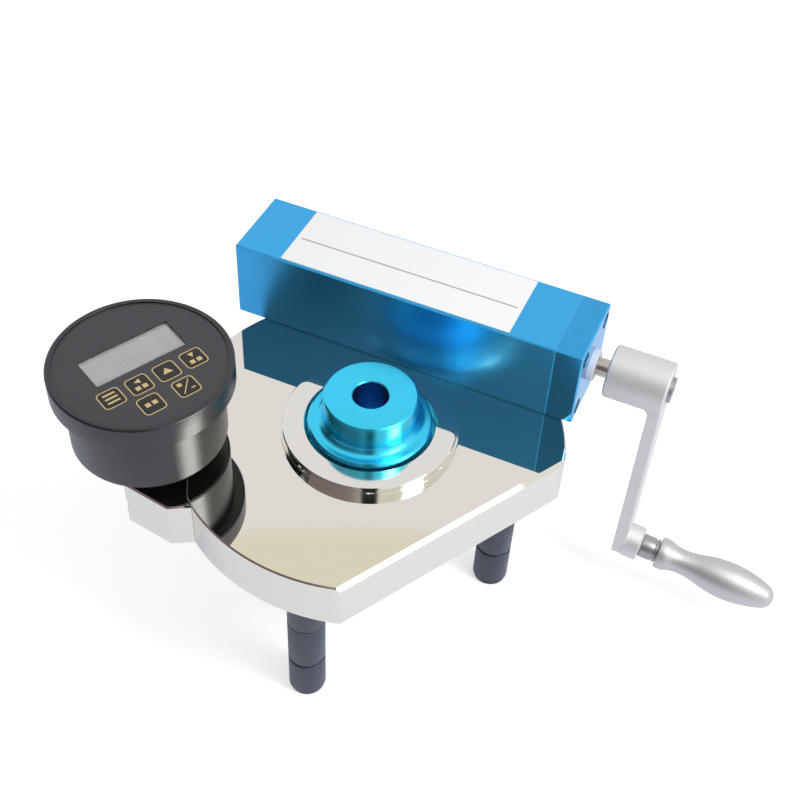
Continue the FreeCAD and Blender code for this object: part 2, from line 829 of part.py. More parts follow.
def crankArm():
    """Hub, hanging arm and lower boss of one casting, blended where the arm leaves the hub."""
    armLeft = hubRightX - armThickness
    half = armWidth / 2
    web = box(armLeft, hubRightX, axisY - half, axisY + half, gripZ, axisZ)
    slab = rod(hubRadius, armLeft, hubRightX)
    slab = slab.fuse([web, rod(half, armLeft, hubRightX, axisY, gripZ)]).removeSplitter()
    slab = slab.makeChamfer(crankEdge, edgesAcross(slab, hubRightX))
    hub = rod(hubRadius, hubLeftX, armLeft)
    hub = hub.makeChamfer(crankEdge, edgesAcross(hub, hubLeftX))
    boss = rod(bossRadius, hubRightX - bossSink, bossRightX, axisY, gripZ)
    boss = leaned(boss.makeChamfer(crankEdge, edgesAcross(boss, bossRightX)))
    arm = slab.fuse([hub, boss]).removeSplitter()
    root = [
        e for e in edgesAcross(arm, armLeft)
        if axisZ - hubRadius - 1 < e.CenterOfMass.z < axisZ and e.BoundBox.YLength < armWidth + 1
        and abs(e.CenterOfMass.y - axisY) < 1e-3
    ]
    arm = arm.makeFillet(armBlend, root)
    arm = arm.cut(rod(screwRadius + screwFit / 2, hubLeftX, hubRightX - shaftEndGap + 0.5))
    arm = arm.cut(rod(crankScrewRadius + bodyGap, hubLeftX, hubRightX))
    seat = rod(spindleRadius + screwFit / 2, bossRightX - spindleSeat, bossRightX, axisY, gripZ)
    return hung(arm.cut(leaned(seat)))


def edgesAcross(shape, x):
    """The edges that lie whole at one place along X."""
    return [e for e in shape.Edges if abs(e.BoundBox.XMin - x) + abs(e.BoundBox.XMax - x) < 1e-5]


def crankScrew():
    length = shaftEndGap + crankScrewLength - 2
    screw = socketScrew(crankScrewRadius, length, crankScrewHeadRadius, crankScrewHeadHeight, capScrewSocketWidth)
    return hung(placed(screw, V(hubRightX, axisY, axisZ), X))


def gripSpindle():
    """Fixed in the arm's boss, with a catch that holds the turning grip on."""
    pin = rod(spindleRadius, bossRightX - spindleSeat + 0.5, gripLeftX + spindleLength, axisY, gripZ)
    left = gripLeftX + gripCatchAt
    return hung(leaned(pin.fuse(rod(gripCatchRadius, left, left + gripCatchLength, axisY, gripZ))))


def spindleNut():
    left = bossRightX
    right = left + spindleNutLength
    nut = rodTube(spindleNutRadius, spindleRadius + screwFit / 2, left, right, axisY, gripZ)
    groove = right - 3 * spindleNutGroove
    waste = rodTube(
        spindleNutRadius + 1, spindleNutRadius - spindleNutGroove,
        groove, groove + spindleNutGroove, axisY, gripZ)
    nut = nut.cut(waste)
    rims = [
        e for e in nut.Edges
        if abs(e.BoundBox.XMin - e.BoundBox.XMax) < 1e-5
        and min(abs(e.BoundBox.XMin - x) for x in (left, right)) < 1e-5
        and e.BoundBox.YLength > 2 * spindleNutRadius - 0.1
    ]
    return hung(leaned(nut.makeChamfer(legEdge, rims)))


def grip():
    """Turned grip: flared collar, hollow waist, oval belly and a round end, all tangent arcs."""
    collarEnd = V(gripCollarLength, 0, gripCollarRadius)
    waist = V(gripWaistAt, 0, gripWaistRadius)
    belly = V(gripBellyAt, 0, gripBellyRadius)
    tip = V(gripLength, 0, 0)
    flare = reachingRadius(gripWaistAt - gripCollarLength, gripCollarRadius - gripWaistRadius)
    tail = gripLength - gripBellyAt - gripTipRadius
    bellySweep = (tail**2 + gripBellyRadius**2 - gripTipRadius**2) / (2 * (gripBellyRadius - gripTipRadius))
    waistSweep = 2 * reachingRadius(gripBellyAt - gripWaistAt, gripBellyRadius - gripWaistRadius, 2) - bellySweep
    flareCentre = waist + Z * flare
    waistCentre = waist + Z * waistSweep
    bellyCentre = belly - Z * bellySweep
    tipCentre = tip - X * gripTipRadius
    turn = waistCentre + (bellyCentre - waistCentre) * (waistSweep / (waistSweep + bellySweep))
    tangent = tipCentre + (tipCentre - bellyCentre).normalize() * gripTipRadius
    flank = [
        arcAbout(flareCentre, collarEnd, waist),
        arcAbout(waistCentre, waist, turn),
        arcAbout(bellyCentre, turn, tangent),
        arcAbout(tipCentre, tangent, tip),
    ]
    bore = spindleRadius + runFit
    catch = gripCatchRadius + bodyGap
    boreEnd = spindleLength + 1
    catchLeft = gripCatchAt - gripCatchPlay
    catchRight = gripCatchAt + gripCatchLength + gripCatchPlay
    edge = crankEdge
    line = [
        tip, V(boreEnd, 0, 0), V(boreEnd, 0, bore), V(catchRight, 0, bore), V(catchRight, 0, catch),
        V(catchLeft, 0, catch), V(catchLeft, 0, bore), V(0, 0, bore),
        V(0, 0, gripCollarRadius - edge), V(edge, 0, gripCollarRadius), collarEnd,
    ]
    edges = [Part.makeLine(a, b) for a, b in zip(line, line[1:])]
    face = Part.Face(Part.Wire(edges + flank))
    body = face.revolve(V(0, 0, 0), X, 360)
    body.translate(V(gripLeftX, axisY, gripZ))
    return hung(leaned(body))


def reachingRadius(along, rise, arcs=1):
    """The radius of an arc, or the mean radius of two, level at one end, that climbs this much."""
    return (along**2 / arcs + rise**2 / arcs) / (2 * rise)


def arcAbout(centre, start, end):
    """The shorter arc between two points that lie the same distance from a centre."""
    middle = (start - centre) + (end - centre)
    middle = centre + middle.normalize() * (start - centre).Length
    return Part.Arc(start, middle, end).toShape()


# Piston

def piston():
    """Hollow piston: stem below, head in the liner, neck, and the bright puck on top."""
    headTop = pistonBottom + pistonHeadHeight
    neckTop = headTop + pistonNeckHeight
    top = plateTop + puckTopHeight
    sealLow = pistonBottom + pistonSealRise
    sealHigh = sealLow + pistonSealHeight
    sealFloor = pistonRadius - sealSection
    sweep = pistonShoulderRadius - puckRadius
    centre = V(pistonShoulderRadius, 0, neckTop + sweep)
    foot = V(pistonShoulderRadius, 0, neckTop)
    line = [
        V(pullBoreRadius, 0, plateBottom + pullBoreEdge), V(pullBoreRadius + pullBoreEdge, 0, plateBottom),
        V(stemRadius - pullBoreEdge, 0, plateBottom), V(stemRadius, 0, plateBottom + pullBoreEdge),
        V(stemRadius, 0, pistonBottom), V(pistonRadius - pistonEdge, 0, pistonBottom),
        V(pistonRadius, 0, pistonBottom + pistonEdge), V(pistonRadius, 0, sealLow),
        V(sealFloor, 0, sealLow), V(sealFloor, 0, sealHigh), V(pistonRadius, 0, sealHigh),
        V(pistonRadius, 0, headTop), V(pistonNeckRadius, 0, headTop),
        V(pistonNeckRadius, 0, neckTop - pistonEdge), V(pistonNeckRadius - pistonEdge, 0, neckTop), foot,
    ]
    edges = [Part.makeLine(a, b) for a, b in zip(line, line[1:])]
    shoulder = V(puckRadius, 0, neckTop + sweep)
    edges.append(arcAbout(centre, foot, shoulder))
    close = [
        shoulder, V(puckRadius, 0, top - puckEdge), V(puckRadius - puckEdge, 0, top),
        V(pullBoreRadius + pullBoreEdge, 0, top), V(pullBoreRadius, 0, top - pullBoreEdge), line[0],
    ]
    edges += [Part.makeLine(a, b) for a, b in zip(close, close[1:])]
    return Part.Face(Part.Wire(edges)).revolve(V(0, 0, 0), Z, 360)


def pistonSeal():
    low = pistonBottom + pistonSealRise
    return tube(pistonRadius, pistonRadius - sealSection + sealFit, low, low + pistonSealHeight)


# Gauge

def gaugeStem():
    at = polar(gaugeReach, lugAngle)
    lower = cylinder(gaugeStemRadius, plateTop - gaugeStemDepth, plateTop, at)
    grip = hexagon(gaugeStemHexWidth, V(at.x, at.y, plateTop), Z, gaugeStemHeight)
    upper = cylinder(gaugeStemRadius, caseBottom, caseBottom + gaugeStemTop, at)
    stem = lower.fuse([grip, upper])
    return stem.cut(cylinder(oilWayRadius, plateTop - gaugeStemDepth, caseBottom + gaugeStemTop, at))


def pressureSensor():
    at = V(gaugeX, gaugeY, 0)
    low = caseBottom + caseFloor
    body = cylinder(sensorRadius, low, low + sensorHeight, at)
    body = body.makeChamfer(caseEdge, edgesAt(body, low + sensorHeight))
    socketTop = caseBottom + gaugeStemTop + screwFit
    return body.cut(cylinder(gaugeStemRadius + screwFit, low, socketTop, at))


def gaugeCase():
    at = V(gaugeX, gaugeY, 0)
    case = cylinder(caseRadius, caseBottom, caseTop, at)
    case = case.makeFillet(caseEdge, edgesAt(case, caseBottom))
    case = case.cut(cylinder(caseRadius - caseWall, caseBottom + caseFloor, caseTop, at))
    for turn in casePostTurns:
        a = math.radians(turn)
        foot = onFace(casePostCircle * math.cos(a), casePostCircle * math.sin(a), 0)
        case = case.fuse(cylinder(casePostRadius, caseBottom + caseFloor, boardTop - boardThickness, foot))
    return case.cut(cylinder(gaugeStemRadius + screwFit, caseBottom, caseBottom + caseFloor, at))


def gaugeBezel():
    """Turned ring that screws over the case and holds the face plate under its lip."""
    low = caseTop - bezelOverlap
    high = faceTop + bezelLipThickness
    skirt = caseRadius + screwFit
    bezel = revolved([
        (skirt, low), (bezelRadius - bezelEdge, low), (bezelRadius, low + bezelEdge),
        (bezelRadius, high - bezelEdge), (bezelRadius - bezelEdge, high),
        (bezelOpening, high), (bezelOpening, faceTop), (bezelPocketRadius, faceTop),
        (bezelPocketRadius, caseTop), (skirt, caseTop),
    ], V(gaugeX, gaugeY, 0))
    for turn in bezelScrewTurns:
        bezel = bezel.cut(bezelScrew(turn, bezelScrewRadius + screwFit, bezelRadius + 1))
    return bezel


def bezelScrew(turn, radius, reach):
    a = math.radians(turn)
    out = V(math.cos(a), math.sin(a), 0)
    start = caseRadius + screwFit
    level = caseTop - bezelOverlap / 2
    return Part.makeCylinder(radius, reach - start, V(gaugeX, gaugeY, level) + out * start, out)


def bezelScrews():
    reach = bezelRadius - plugInset
    return Part.makeCompound([bezelScrew(turn, bezelScrewRadius, reach) for turn in bezelScrewTurns])


def caseGasket():
    at = V(gaugeX, gaugeY, 0)
    return tube(bezelPocketRadius - screwFit, gasketBoreRadius, caseTop, caseTop + gasketThickness, at)


def facePlate():
    """Face of the gauge: a skirted disc with the display window and six key windows."""
    at = V(gaugeX, gaugeY, 0)
    outer = bezelPocketRadius - screwFit
    plate = cylinder(outer, faceUnder, faceTop, at)
    plate = plate.fuse(tube(outer, gasketBoreRadius + caseWall, caseTop + gasketThickness, faceUnder, at))
    plate = plate.removeSplitter()
    u, v = displayShift
    plate = plate.cut(faceBlock(u, v, displayLength, displayWidth, faceUnder, faceTop))
    window = keySize + 2 * keyPlay
    for u, v in keyPlaces():
        plate = plate.cut(faceBlock(u, v, window, window, faceUnder, faceTop, keyCorner + keyPlay))
    return plate


def displayLens():
    u, v = displayShift
    high = faceTop - displayInset
    length = displayLength - 2 * screwFit
    width = displayWidth - 2 * screwFit
    return faceBlock(u, v, length, width, high - displayLensThickness, high)


def lcdModule():
    u, v = displayShift
    length = displayLength + 2 * lcdBorder
    width = displayWidth + 2 * lcdBorder
    return faceBlock(u, v, length, width, boardTop, faceUnder)


def circuitBoard():
    return cylinder(boardRadius, boardTop - boardThickness, boardTop, V(gaugeX, gaugeY, 0))


def keySwitches():
    blocks = [faceBlock(u, v, switchSize, switchSize, boardTop, switchTop) for u, v in keyPlaces()]
    return Part.makeCompound(blocks)


def batteryCells():
    cells = []
    for side in (-1, 1):
        start = onFace(-cellLength / 2, side * cellSpread / 2, boardTop - boardThickness - cellRadius)
        end = onFace(cellLength / 2, side * cellSpread / 2, boardTop - boardThickness - cellRadius)
        cells.append(Part.makeCylinder(cellRadius, cellLength, start, end - start))
    return Part.makeCompound(cells)


def key(u, v):
    """A low key that stands just proud of the face, with a lip that keeps it in its window."""
    under = faceUnder - runFit
    cap = faceBlock(u, v, keySize, keySize, under, faceTop + keyProud, keyCorner)
    lip = keySize + 2 * keyLip
    flange = faceBlock(u, v, lip, lip, under - keyLipThickness, under, keyCorner)
    return flange.fuse(cap).removeSplitter()


def pieces():
    """Every piece under its own name."""
    named = {
        "base_plate": basePlate(),
        "gauge_lug": gaugeLug(),
        "lug_screws": lugScrews(),
        "port_seals": portSeals(),
        "cylinder_liner": cylinderLiner(),
        "cover_ring": coverRing(),
        "ring_screws": ringScrews(),
        "stem_seal": stemSeal(),
        "pump_block": pumpBlock(),
        "end_cap": endCap(),
        "cap_screws": capScrews(),
        "block_bolts": blockBolts(),
        "oil_plugs": oilPlugs(),
        "name_label": nameLabel(),
        "plunger_seal": plungerSeal(),
        "plunger_gland": plungerGland(),
        "plunger": plunger(),
        "drive_nut": driveNut(),
        "lead_screw": leadScrew(),
        "thrust_race_turning": thrustRace(
            blockRightX, bearingPocketRadius - bodyGap, screwRadius + screwFit / 2),
        "thrust_race_fixed": thrustRace(
            blockRightX + raceThickness + rollerGap, bearingPocketRadius - screwFit, screwRadius + bodyGap),
        "thrust_rollers": thrustRollers(),
        "shaft_bush": shaftBush(),
        "crank_arm": crankArm(),
        "crank_screw": crankScrew(),
        "grip_spindle": gripSpindle(),
        "spindle_nut": spindleNut(),
        "grip": grip(),
        "piston": piston(),
        "piston_seal": pistonSeal(),
        "gauge_stem": gaugeStem(),
        "pressure_sensor": pressureSensor(),
        "gauge_case": gaugeCase(),
        "case_gasket": caseGasket(),
        "gauge_bezel": gaugeBezel(),
        "bezel_screws": bezelScrews(),
        "face_plate": facePlate(),
        "display_lens": displayLens(),
        "lcd_module": lcdModule(),
        "circuit_board": circuitBoard(),
        "key_switches": keySwitches(),
        "battery_cells": batteryCells(),
    }
    for n, at in enumerate(legPlaces(), 1):
        named[f"leg_post_{n}"] = legPost(at)
        named[f"leg_extension_{n}"] = legExtension(at)
        named[f"foot_{n}"] = foot(at)
        named[f"foot_pad_{n}"] = footPad(at)
    for n, (u, v) in enumerate(keyPlaces(), 1):
        named[f"key_{n}"] = key(u, v)
    return named


os.makedirs("parts", exist_ok=True)
for name, shape in pieces().items():
    shape.exportStep(f"parts/{name}.step")
    print(name, len(shape.Solids), round(shape.Volume, 1), shape.isValid())
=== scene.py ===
import math

import bmesh
import bpy
from mathutils import Matrix, Vector


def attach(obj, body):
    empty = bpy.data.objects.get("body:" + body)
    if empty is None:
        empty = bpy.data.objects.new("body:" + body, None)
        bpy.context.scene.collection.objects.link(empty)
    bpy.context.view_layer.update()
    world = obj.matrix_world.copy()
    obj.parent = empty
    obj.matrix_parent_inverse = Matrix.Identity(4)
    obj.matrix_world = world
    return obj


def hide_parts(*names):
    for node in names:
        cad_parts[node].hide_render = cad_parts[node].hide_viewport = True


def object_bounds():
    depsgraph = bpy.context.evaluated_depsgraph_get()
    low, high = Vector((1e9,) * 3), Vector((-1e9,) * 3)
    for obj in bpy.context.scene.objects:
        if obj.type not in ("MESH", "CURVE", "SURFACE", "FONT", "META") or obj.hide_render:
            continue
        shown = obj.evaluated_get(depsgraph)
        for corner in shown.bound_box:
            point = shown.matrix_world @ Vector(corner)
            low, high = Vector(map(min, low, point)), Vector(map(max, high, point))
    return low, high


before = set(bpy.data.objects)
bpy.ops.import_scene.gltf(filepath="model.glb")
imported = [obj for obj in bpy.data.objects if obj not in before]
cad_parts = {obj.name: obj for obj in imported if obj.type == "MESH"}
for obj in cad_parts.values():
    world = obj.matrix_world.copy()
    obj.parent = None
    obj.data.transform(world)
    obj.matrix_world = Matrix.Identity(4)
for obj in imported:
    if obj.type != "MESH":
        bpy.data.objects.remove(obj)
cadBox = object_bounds()
mm = 0.001
print("frame loaded")


# Small helpers

def polar(radius, degrees, height=0.0):
    angle = math.radians(degrees)
    return radius * math.cos(angle), radius * math.sin(angle), height


def linked(name, mesh):
    piece = bpy.data.objects.new(name, mesh)
    bpy.context.scene.collection.objects.link(piece)
    return piece


def ridden(piece, body, slotName, *nodes):
    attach(piece, body)
    if nodes:
        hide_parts(*nodes)
    return piece


def wired(tree, kind, feeds=None, **settings):
    # A new shader or geometry node, with its settings, and its inputs linked or set
    node = tree.nodes.new(kind)
    for key, value in settings.items():
        setattr(node, key, value)
    for key, value in (feeds or {}).items():
        if isinstance(value, bpy.types.NodeSocket):
            tree.links.new(value, node.inputs[key])
        else:
            node.inputs[key].default_value = value
    return node


def sockets(tree, inputs, outputs):
    for name, kind, value in inputs:
        socket = tree.interface.new_socket(name, in_out="INPUT", socket_type=kind)
        if value is not None:
            socket.default_value = value
    for name, kind in outputs:
        tree.interface.new_socket(name, in_out="OUTPUT", socket_type=kind)
    return wired(tree, "NodeGroupInput"), wired(tree, "NodeGroupOutput")


def worked(tree, operation, a, b=0.0, clamp=False):
    node = wired(tree, "ShaderNodeMath", {0: a, 1: b}, operation=operation, use_clamp=clamp)
    return node.outputs[0]


def rampedMask(tree, value, low, high):
    # 0 below low, 1 above high, smooth between
    node = wired(tree, "ShaderNodeMapRange", {
        "Value": value, "From Min": low, "From Max": high, "To Min": 0.0, "To Max": 1.0,
    }, interpolation_type="SMOOTHSTEP")
    return node.outputs["Result"]


def mixed(tree, mask, a, b):
    node = wired(tree, "ShaderNodeMix", {"Factor": mask}, data_type="RGBA")
    for socket, value in ((node.inputs[6], a), (node.inputs[7], b)):
        if isinstance(value, bpy.types.NodeSocket):
            tree.links.new(value, socket)
        else:
            socket.default_value = (*value[:3], 1.0)
    return node.outputs[2]


# Camera, at the photograph's viewing angle

view = {
    "place": (0.1824, -0.4196, 0.5062),
    "azimuth": 21.610,
    "elevation": 46.557,
    "roll": 3.246,
    "lens": 58.40,
    "sensor": 36.0,
}


def makeCamera():
    azimuth = math.radians(view["azimuth"])
    elevation = math.radians(view["elevation"])
    back = Vector((
        math.sin(azimuth) * math.cos(elevation),
        -math.cos(azimuth) * math.cos(elevation),
        math.sin(elevation)))
    level = (-back).cross(Vector((0, 0, 1))).normalized()
    upright = level.cross(-back)
    roll = math.radians(view["roll"])
    right = level * math.cos(roll) + upright * math.sin(roll)
    up = upright * math.cos(roll) - level * math.sin(roll)
    data = bpy.data.cameras.new("camera")
    data.lens = view["lens"]
    data.sensor_width = view["sensor"]
    data.clip_start = 0.05
    data.clip_end = 30
    camera = linked("camera", data)
    turn = Matrix((right, up, back)).transposed().to_4x4()
    camera.matrix_world = Matrix.Translation(view["place"]) @ turn
    bpy.context.scene.camera = camera


# Studio: plain even light, and a pale room that is dim where the photographer stands

studio = {
    "plainTone": (0.705, 0.71, 0.725),
    "roomTone": (0.90, 0.905, 0.915),
    "rearTone": (0.90, 0.885, 0.95),
    "rearFrom": (0.0, 0.5),
    "ceilingTone": (0.85, 0.815, 0.72),
    "ceilingAt": (0.785, 0.797),
    "dimTone": (0.195, 0.140, 0.170),
    "dimTowards": (-0.55, -0.835),
    "dimAround": (0.30, 0.93),
    "dimUpTo": (0.74, 0.92),
    "darkTone": (0.02, 0.02, 0.022),
    "darkTowards": (0.437, -0.899),
    "darkAround": (0.973, 0.991),
    "darkUpTo": (0.84, 0.90),
    "floorDrop": 0.00002,
    "floorSize": 14.0,
    "floorTone": (0.90, 0.90, 0.905),
    "floorLift": 0.40,
    "mirroredLift": (0.01, 0.03, 0.11),
}


def makeWorld():
    world = bpy.data.worlds.new("room")
    world.use_nodes = True
    tree = world.node_tree
    tree.nodes.clear()
    direction = wired(tree, "ShaderNodeTexCoord").outputs["Generated"]
    x, y, z = wired(tree, "ShaderNodeSeparateXYZ", {0: direction}).outputs
    flat = worked(tree, "SQRT", worked(tree, "SUBTRACT", 1.0, worked(tree, "MULTIPLY", z, z), clamp=True))
    flat = worked(tree, "MAXIMUM", flat, 0.001)

    def patch(towards, around, upTo):
        # 1 towards one side of the room, up to a height
        along = worked(
            tree, "ADD", worked(tree, "MULTIPLY", x, towards[0]), worked(tree, "MULTIPLY", y, towards[1]))
        side = rampedMask(tree, worked(tree, "DIVIDE", along, flat), *around)
        return worked(tree, "MULTIPLY", side, worked(tree, "SUBTRACT", 1.0, rampedMask(tree, z, *upTo)))

    rear = rampedMask(tree, y, *studio["rearFrom"])
    ceiling = worked(tree, "MULTIPLY", rear, rampedMask(tree, z, *studio["ceilingAt"]))
    dim = patch(studio["dimTowards"], studio["dimAround"], studio["dimUpTo"])
    dark = patch(studio["darkTowards"], studio["darkAround"], studio["darkUpTo"])
    room = mixed(tree, rear, studio["roomTone"], studio["rearTone"])
    room = mixed(tree, ceiling, room, studio["ceilingTone"])
    room = mixed(tree, dim, room, studio["dimTone"])
    room = mixed(tree, dark, room, studio["darkTone"])
    path = wired(tree, "ShaderNodeLightPath").outputs
    mirrored = worked(tree, "MAXIMUM", path["Is Glossy Ray"], path["Is Transmission Ray"])
    colour = mixed(tree, mirrored, studio["plainTone"], room)
    colour = mixed(tree, path["Is Camera Ray"], colour, (1.0, 1.0, 1.0))
    sky = wired(tree, "ShaderNodeBackground", {"Color": colour, "Strength": 1.0})
    wired(tree, "ShaderNodeOutputWorld", {"Surface": sky.outputs[0]})
    bpy.context.scene.world = world


lamps = {
    "sideSoftbox": {
        "place": (0.625, -0.07, 0.745), "size": (0.30, 0.40), "watts": 4.3, "tone": (0.90, 0.95, 1.0)},
    "edgeFill": {"place": (0.95, -0.17, 0.44), "size": (0.40, 0.34), "watts": 0.9, "tone": (1.0, 1.0, 1.0)},
}


def makeLamps():
    aim = Vector((0, 0, 0))
    for name, values in lamps.items():
        data = bpy.data.lights.new(name, "AREA")
        data.shape = "RECTANGLE"
        data.size = values["size"][0]
        data.size_y = values["size"][1]
        data.energy = values["watts"]
        data.color = values["tone"]
        lamp = linked(name, data)
        lamp.location = values["place"]
        lamp.rotation_euler = (aim - lamp.location).to_track_quat("-Z", "Y").to_euler()


def makeFloor():
    half = studio["floorSize"] / 2
    level = cadBox[0].z - studio["floorDrop"]
    mesh = bpy.data.meshes.new("floor")
    corners = [(-half, -half, level), (half, -half, level), (half, half, level), (-half, half, level)]
    mesh.from_pydata(corners, [], [(0, 1, 2, 3)])
    floor = linked("floor", mesh)
    material = bpy.data.materials.new("paleFloor")
    material.use_nodes = True
    tree = material.node_tree
    tree.nodes.clear()
    lit = wired(tree, "ShaderNodeBsdfPrincipled", {
        "Base Color": (*studio["floorTone"], 1.0), "Roughness": 0.9, "Specular IOR Level": 0.0})
    path = wired(tree, "ShaderNodeLightPath").outputs
    mirrored = worked(tree, "MAXIMUM", path["Is Glossy Ray"], path["Is Transmission Ray"])
    lift = mixed(tree, mirrored, (0.0, 0.0, 0.0), studio["mirroredLift"])
    lift = mixed(tree, path["Is Camera Ray"], lift, (studio["floorLift"],) * 3)
    glow = wired(tree, "ShaderNodeEmission", {"Color": lift, "Strength": 1.0})
    both = wired(tree, "ShaderNodeAddShader", {0: lit.outputs[0], 1: glow.outputs[0]})
    wired(tree, "ShaderNodeOutputMaterial", {"Surface": both.outputs[0]})
    mesh.materials.append(material)


bpy.context.scene.view_settings.view_transform = "Standard"
makeCamera()
makeWorld()
makeLamps()
makeFloor()
print("camera, room and lamps ready")


# Shared effects for the finishes

def makeGrainGroup():
    # Fine blasted or moulded grain, stretched where the metal is brushed, over a broad mottle
    tree = bpy.data.node_groups.new("fineGrain", "ShaderNodeTree")
    start, end = sockets(
        tree,
        [("Vector", "NodeSocketVector", None), ("Scale", "NodeSocketFloat", 900.0),
         ("Stretch", "NodeSocketVector", (1, 1, 1))],
        [("Mask", "NodeSocketFloat"), ("Height", "NodeSocketFloat")])
    stretched = wired(tree, "ShaderNodeVectorMath", {
        0: start.outputs["Vector"], 1: start.outputs["Stretch"]}, operation="MULTIPLY")
    fine = wired(tree, "ShaderNodeTexNoise", {
        "Vector": stretched.outputs[0], "Scale": start.outputs["Scale"], "Detail": 3.0})
    broad = wired(tree, "ShaderNodeTexNoise", {
        "Vector": start.outputs["Vector"], "Scale": 38.0, "Detail": 4.0})
    mask = worked(
        tree, "ADD", worked(tree, "MULTIPLY", fine.outputs[0], 0.5),
        worked(tree, "MULTIPLY", broad.outputs[0], 0.5))
    tree.links.new(mask, end.inputs["Mask"])
    tree.links.new(fine.outputs[0], end.inputs["Height"])
    return tree


def makeTurningGroup():
    # Marks left by the lathe: they follow the radius on faces and the height on walls
    tree = bpy.data.node_groups.new("turningMarks", "ShaderNodeTree")
    start, end = sockets(
        tree,
        [("Vector", "NodeSocketVector", None), ("Pitch", "NodeSocketFloat", 0.0004)],
        [("Tone", "NodeSocketFloat"), ("Height", "NodeSocketFloat"), ("Radius", "NodeSocketFloat")])
    x, y, z = wired(tree, "ShaderNodeSeparateXYZ", {0: start.outputs["Vector"]}).outputs
    square = worked(tree, "ADD", worked(tree, "MULTIPLY", x, x), worked(tree, "MULTIPLY", y, y))
    radius = worked(tree, "SQRT", square)
    travel = worked(tree, "DIVIDE", worked(tree, "ADD", radius, z), start.outputs["Pitch"])
    fine = wired(tree, "ShaderNodeTexNoise", {
        "W": travel, "Scale": 1.0, "Detail": 1.0}, noise_dimensions="1D")
    slow = wired(tree, "ShaderNodeTexNoise", {
        "W": travel, "Scale": 0.11, "Detail": 2.0}, noise_dimensions="1D")
    tree.links.new(slow.outputs[0], end.inputs["Tone"])
    tree.links.new(fine.outputs[0], end.inputs["Height"])
    tree.links.new(radius, end.inputs["Radius"])
    return tree


def makeHandlingGroup():
    # Faint smears and hairlines, for the roughness only
    tree = bpy.data.node_groups.new("handling", "ShaderNodeTree")
    start, end = sockets(
        tree,
        [("Vector", "NodeSocketVector", None), ("Smear", "NodeSocketFloat", 0.5),
         ("Hairlines", "NodeSocketFloat", 0.3)],
        [("Mask", "NodeSocketFloat")])
    smear = wired(tree, "ShaderNodeTexNoise", {
        "Vector": start.outputs["Vector"], "Scale": 17.0, "Detail": 5.0, "Distortion": 0.8})
    smear = rampedMask(tree, smear.outputs[0], 0.48, 0.72)
    turned = wired(tree, "ShaderNodeMapping", {
        "Vector": start.outputs["Vector"], "Rotation": (0.3, 0.2, 0.7), "Scale": (40, 2200, 300)})
    hair = wired(tree, "ShaderNodeTexNoise", {"Vector": turned.outputs[0], "Scale": 1.0, "Detail": 2.0})
    hair = rampedMask(tree, hair.outputs[0], 0.68, 0.78)
    mask = worked(
        tree, "ADD", worked(tree, "MULTIPLY", smear, start.outputs["Smear"]),
        worked(tree, "MULTIPLY", hair, start.outputs["Hairlines"]), clamp=True)
    tree.links.new(mask, end.inputs["Mask"])
    return tree


def makeEdgeHighlightGroup():
    # Painted highlight: 1 on the broken edges of a square piece that don't face down, and along the joint
    # between two of them, where a paler colour stands in for light caught by the chamfers
    tree = bpy.data.node_groups.new("brokenEdges", "ShaderNodeTree")
    start, end = sockets(
        tree,
        [("Facing", "NodeSocketVector", None), ("Vector", "NodeSocketVector", None),
         ("Joint", "NodeSocketFloat", 0.0), ("Width", "NodeSocketFloat", 0.00035)],
        [("Mask", "NodeSocketFloat")])
    sizes = wired(tree, "ShaderNodeVectorMath", {0: start.outputs["Facing"]}, operation="ABSOLUTE")
    x, y, z = wired(tree, "ShaderNodeSeparateXYZ", {0: sizes.outputs[0]}).outputs
    most = worked(tree, "MAXIMUM", worked(tree, "MAXIMUM", x, y), z)
    broken = worked(tree, "SUBTRACT", 1.0, rampedMask(tree, most, 0.90, 0.985))
    height = wired(tree, "ShaderNodeSeparateXYZ", {0: start.outputs["Facing"]}).outputs[2]
    broken = worked(tree, "MULTIPLY", broken, rampedMask(tree, height, -0.4, -0.1))
    along = wired(tree, "ShaderNodeSeparateXYZ", {0: start.outputs["Vector"]}).outputs[0]
    apart = worked(tree, "ABSOLUTE", worked(tree, "SUBTRACT", along, start.outputs["Joint"]))
    near = worked(tree, "LESS_THAN", apart, start.outputs["Width"])
    upright = worked(tree, "SUBTRACT", 1.0, rampedMask(tree, z, 0.3, 0.6))
    mask = worked(tree, "MAXIMUM", broken, worked(tree, "MULTIPLY", near, upright))
    tree.links.new(mask, end.inputs["Mask"])
    return tree


grainGroup = makeGrainGroup()
edgeHighlightGroup = makeEdgeHighlightGroup()
turningGroup = makeTurningGroup()
handlingGroup = makeHandlingGroup()


def placedGroup(tree, group, feeds):
    node = tree.nodes.new("ShaderNodeGroup")
    node.node_tree = group
    for key, value in feeds.items():
        if isinstance(value, bpy.types.NodeSocket):
            tree.links.new(value, node.inputs[key])
        else:
            node.inputs[key].default_value = value
    return node.outputs


# Finishes. tone and shade are the two colours that the grain mixes, rough is the least and most roughness,
# turning is the pitch of the lathe marks, inner is the darker colour painted in a turned piece's bore as
# painted shade, edge is the paler colour painted on a square piece's broken edges as a painted highlight,
# and joint is where the block meets its cap.

# Painted highlight: the broken edges lose this much of their metal so that their pale colour shows
highlightDulling = 0.8  # how far a broken edge stops being metallic

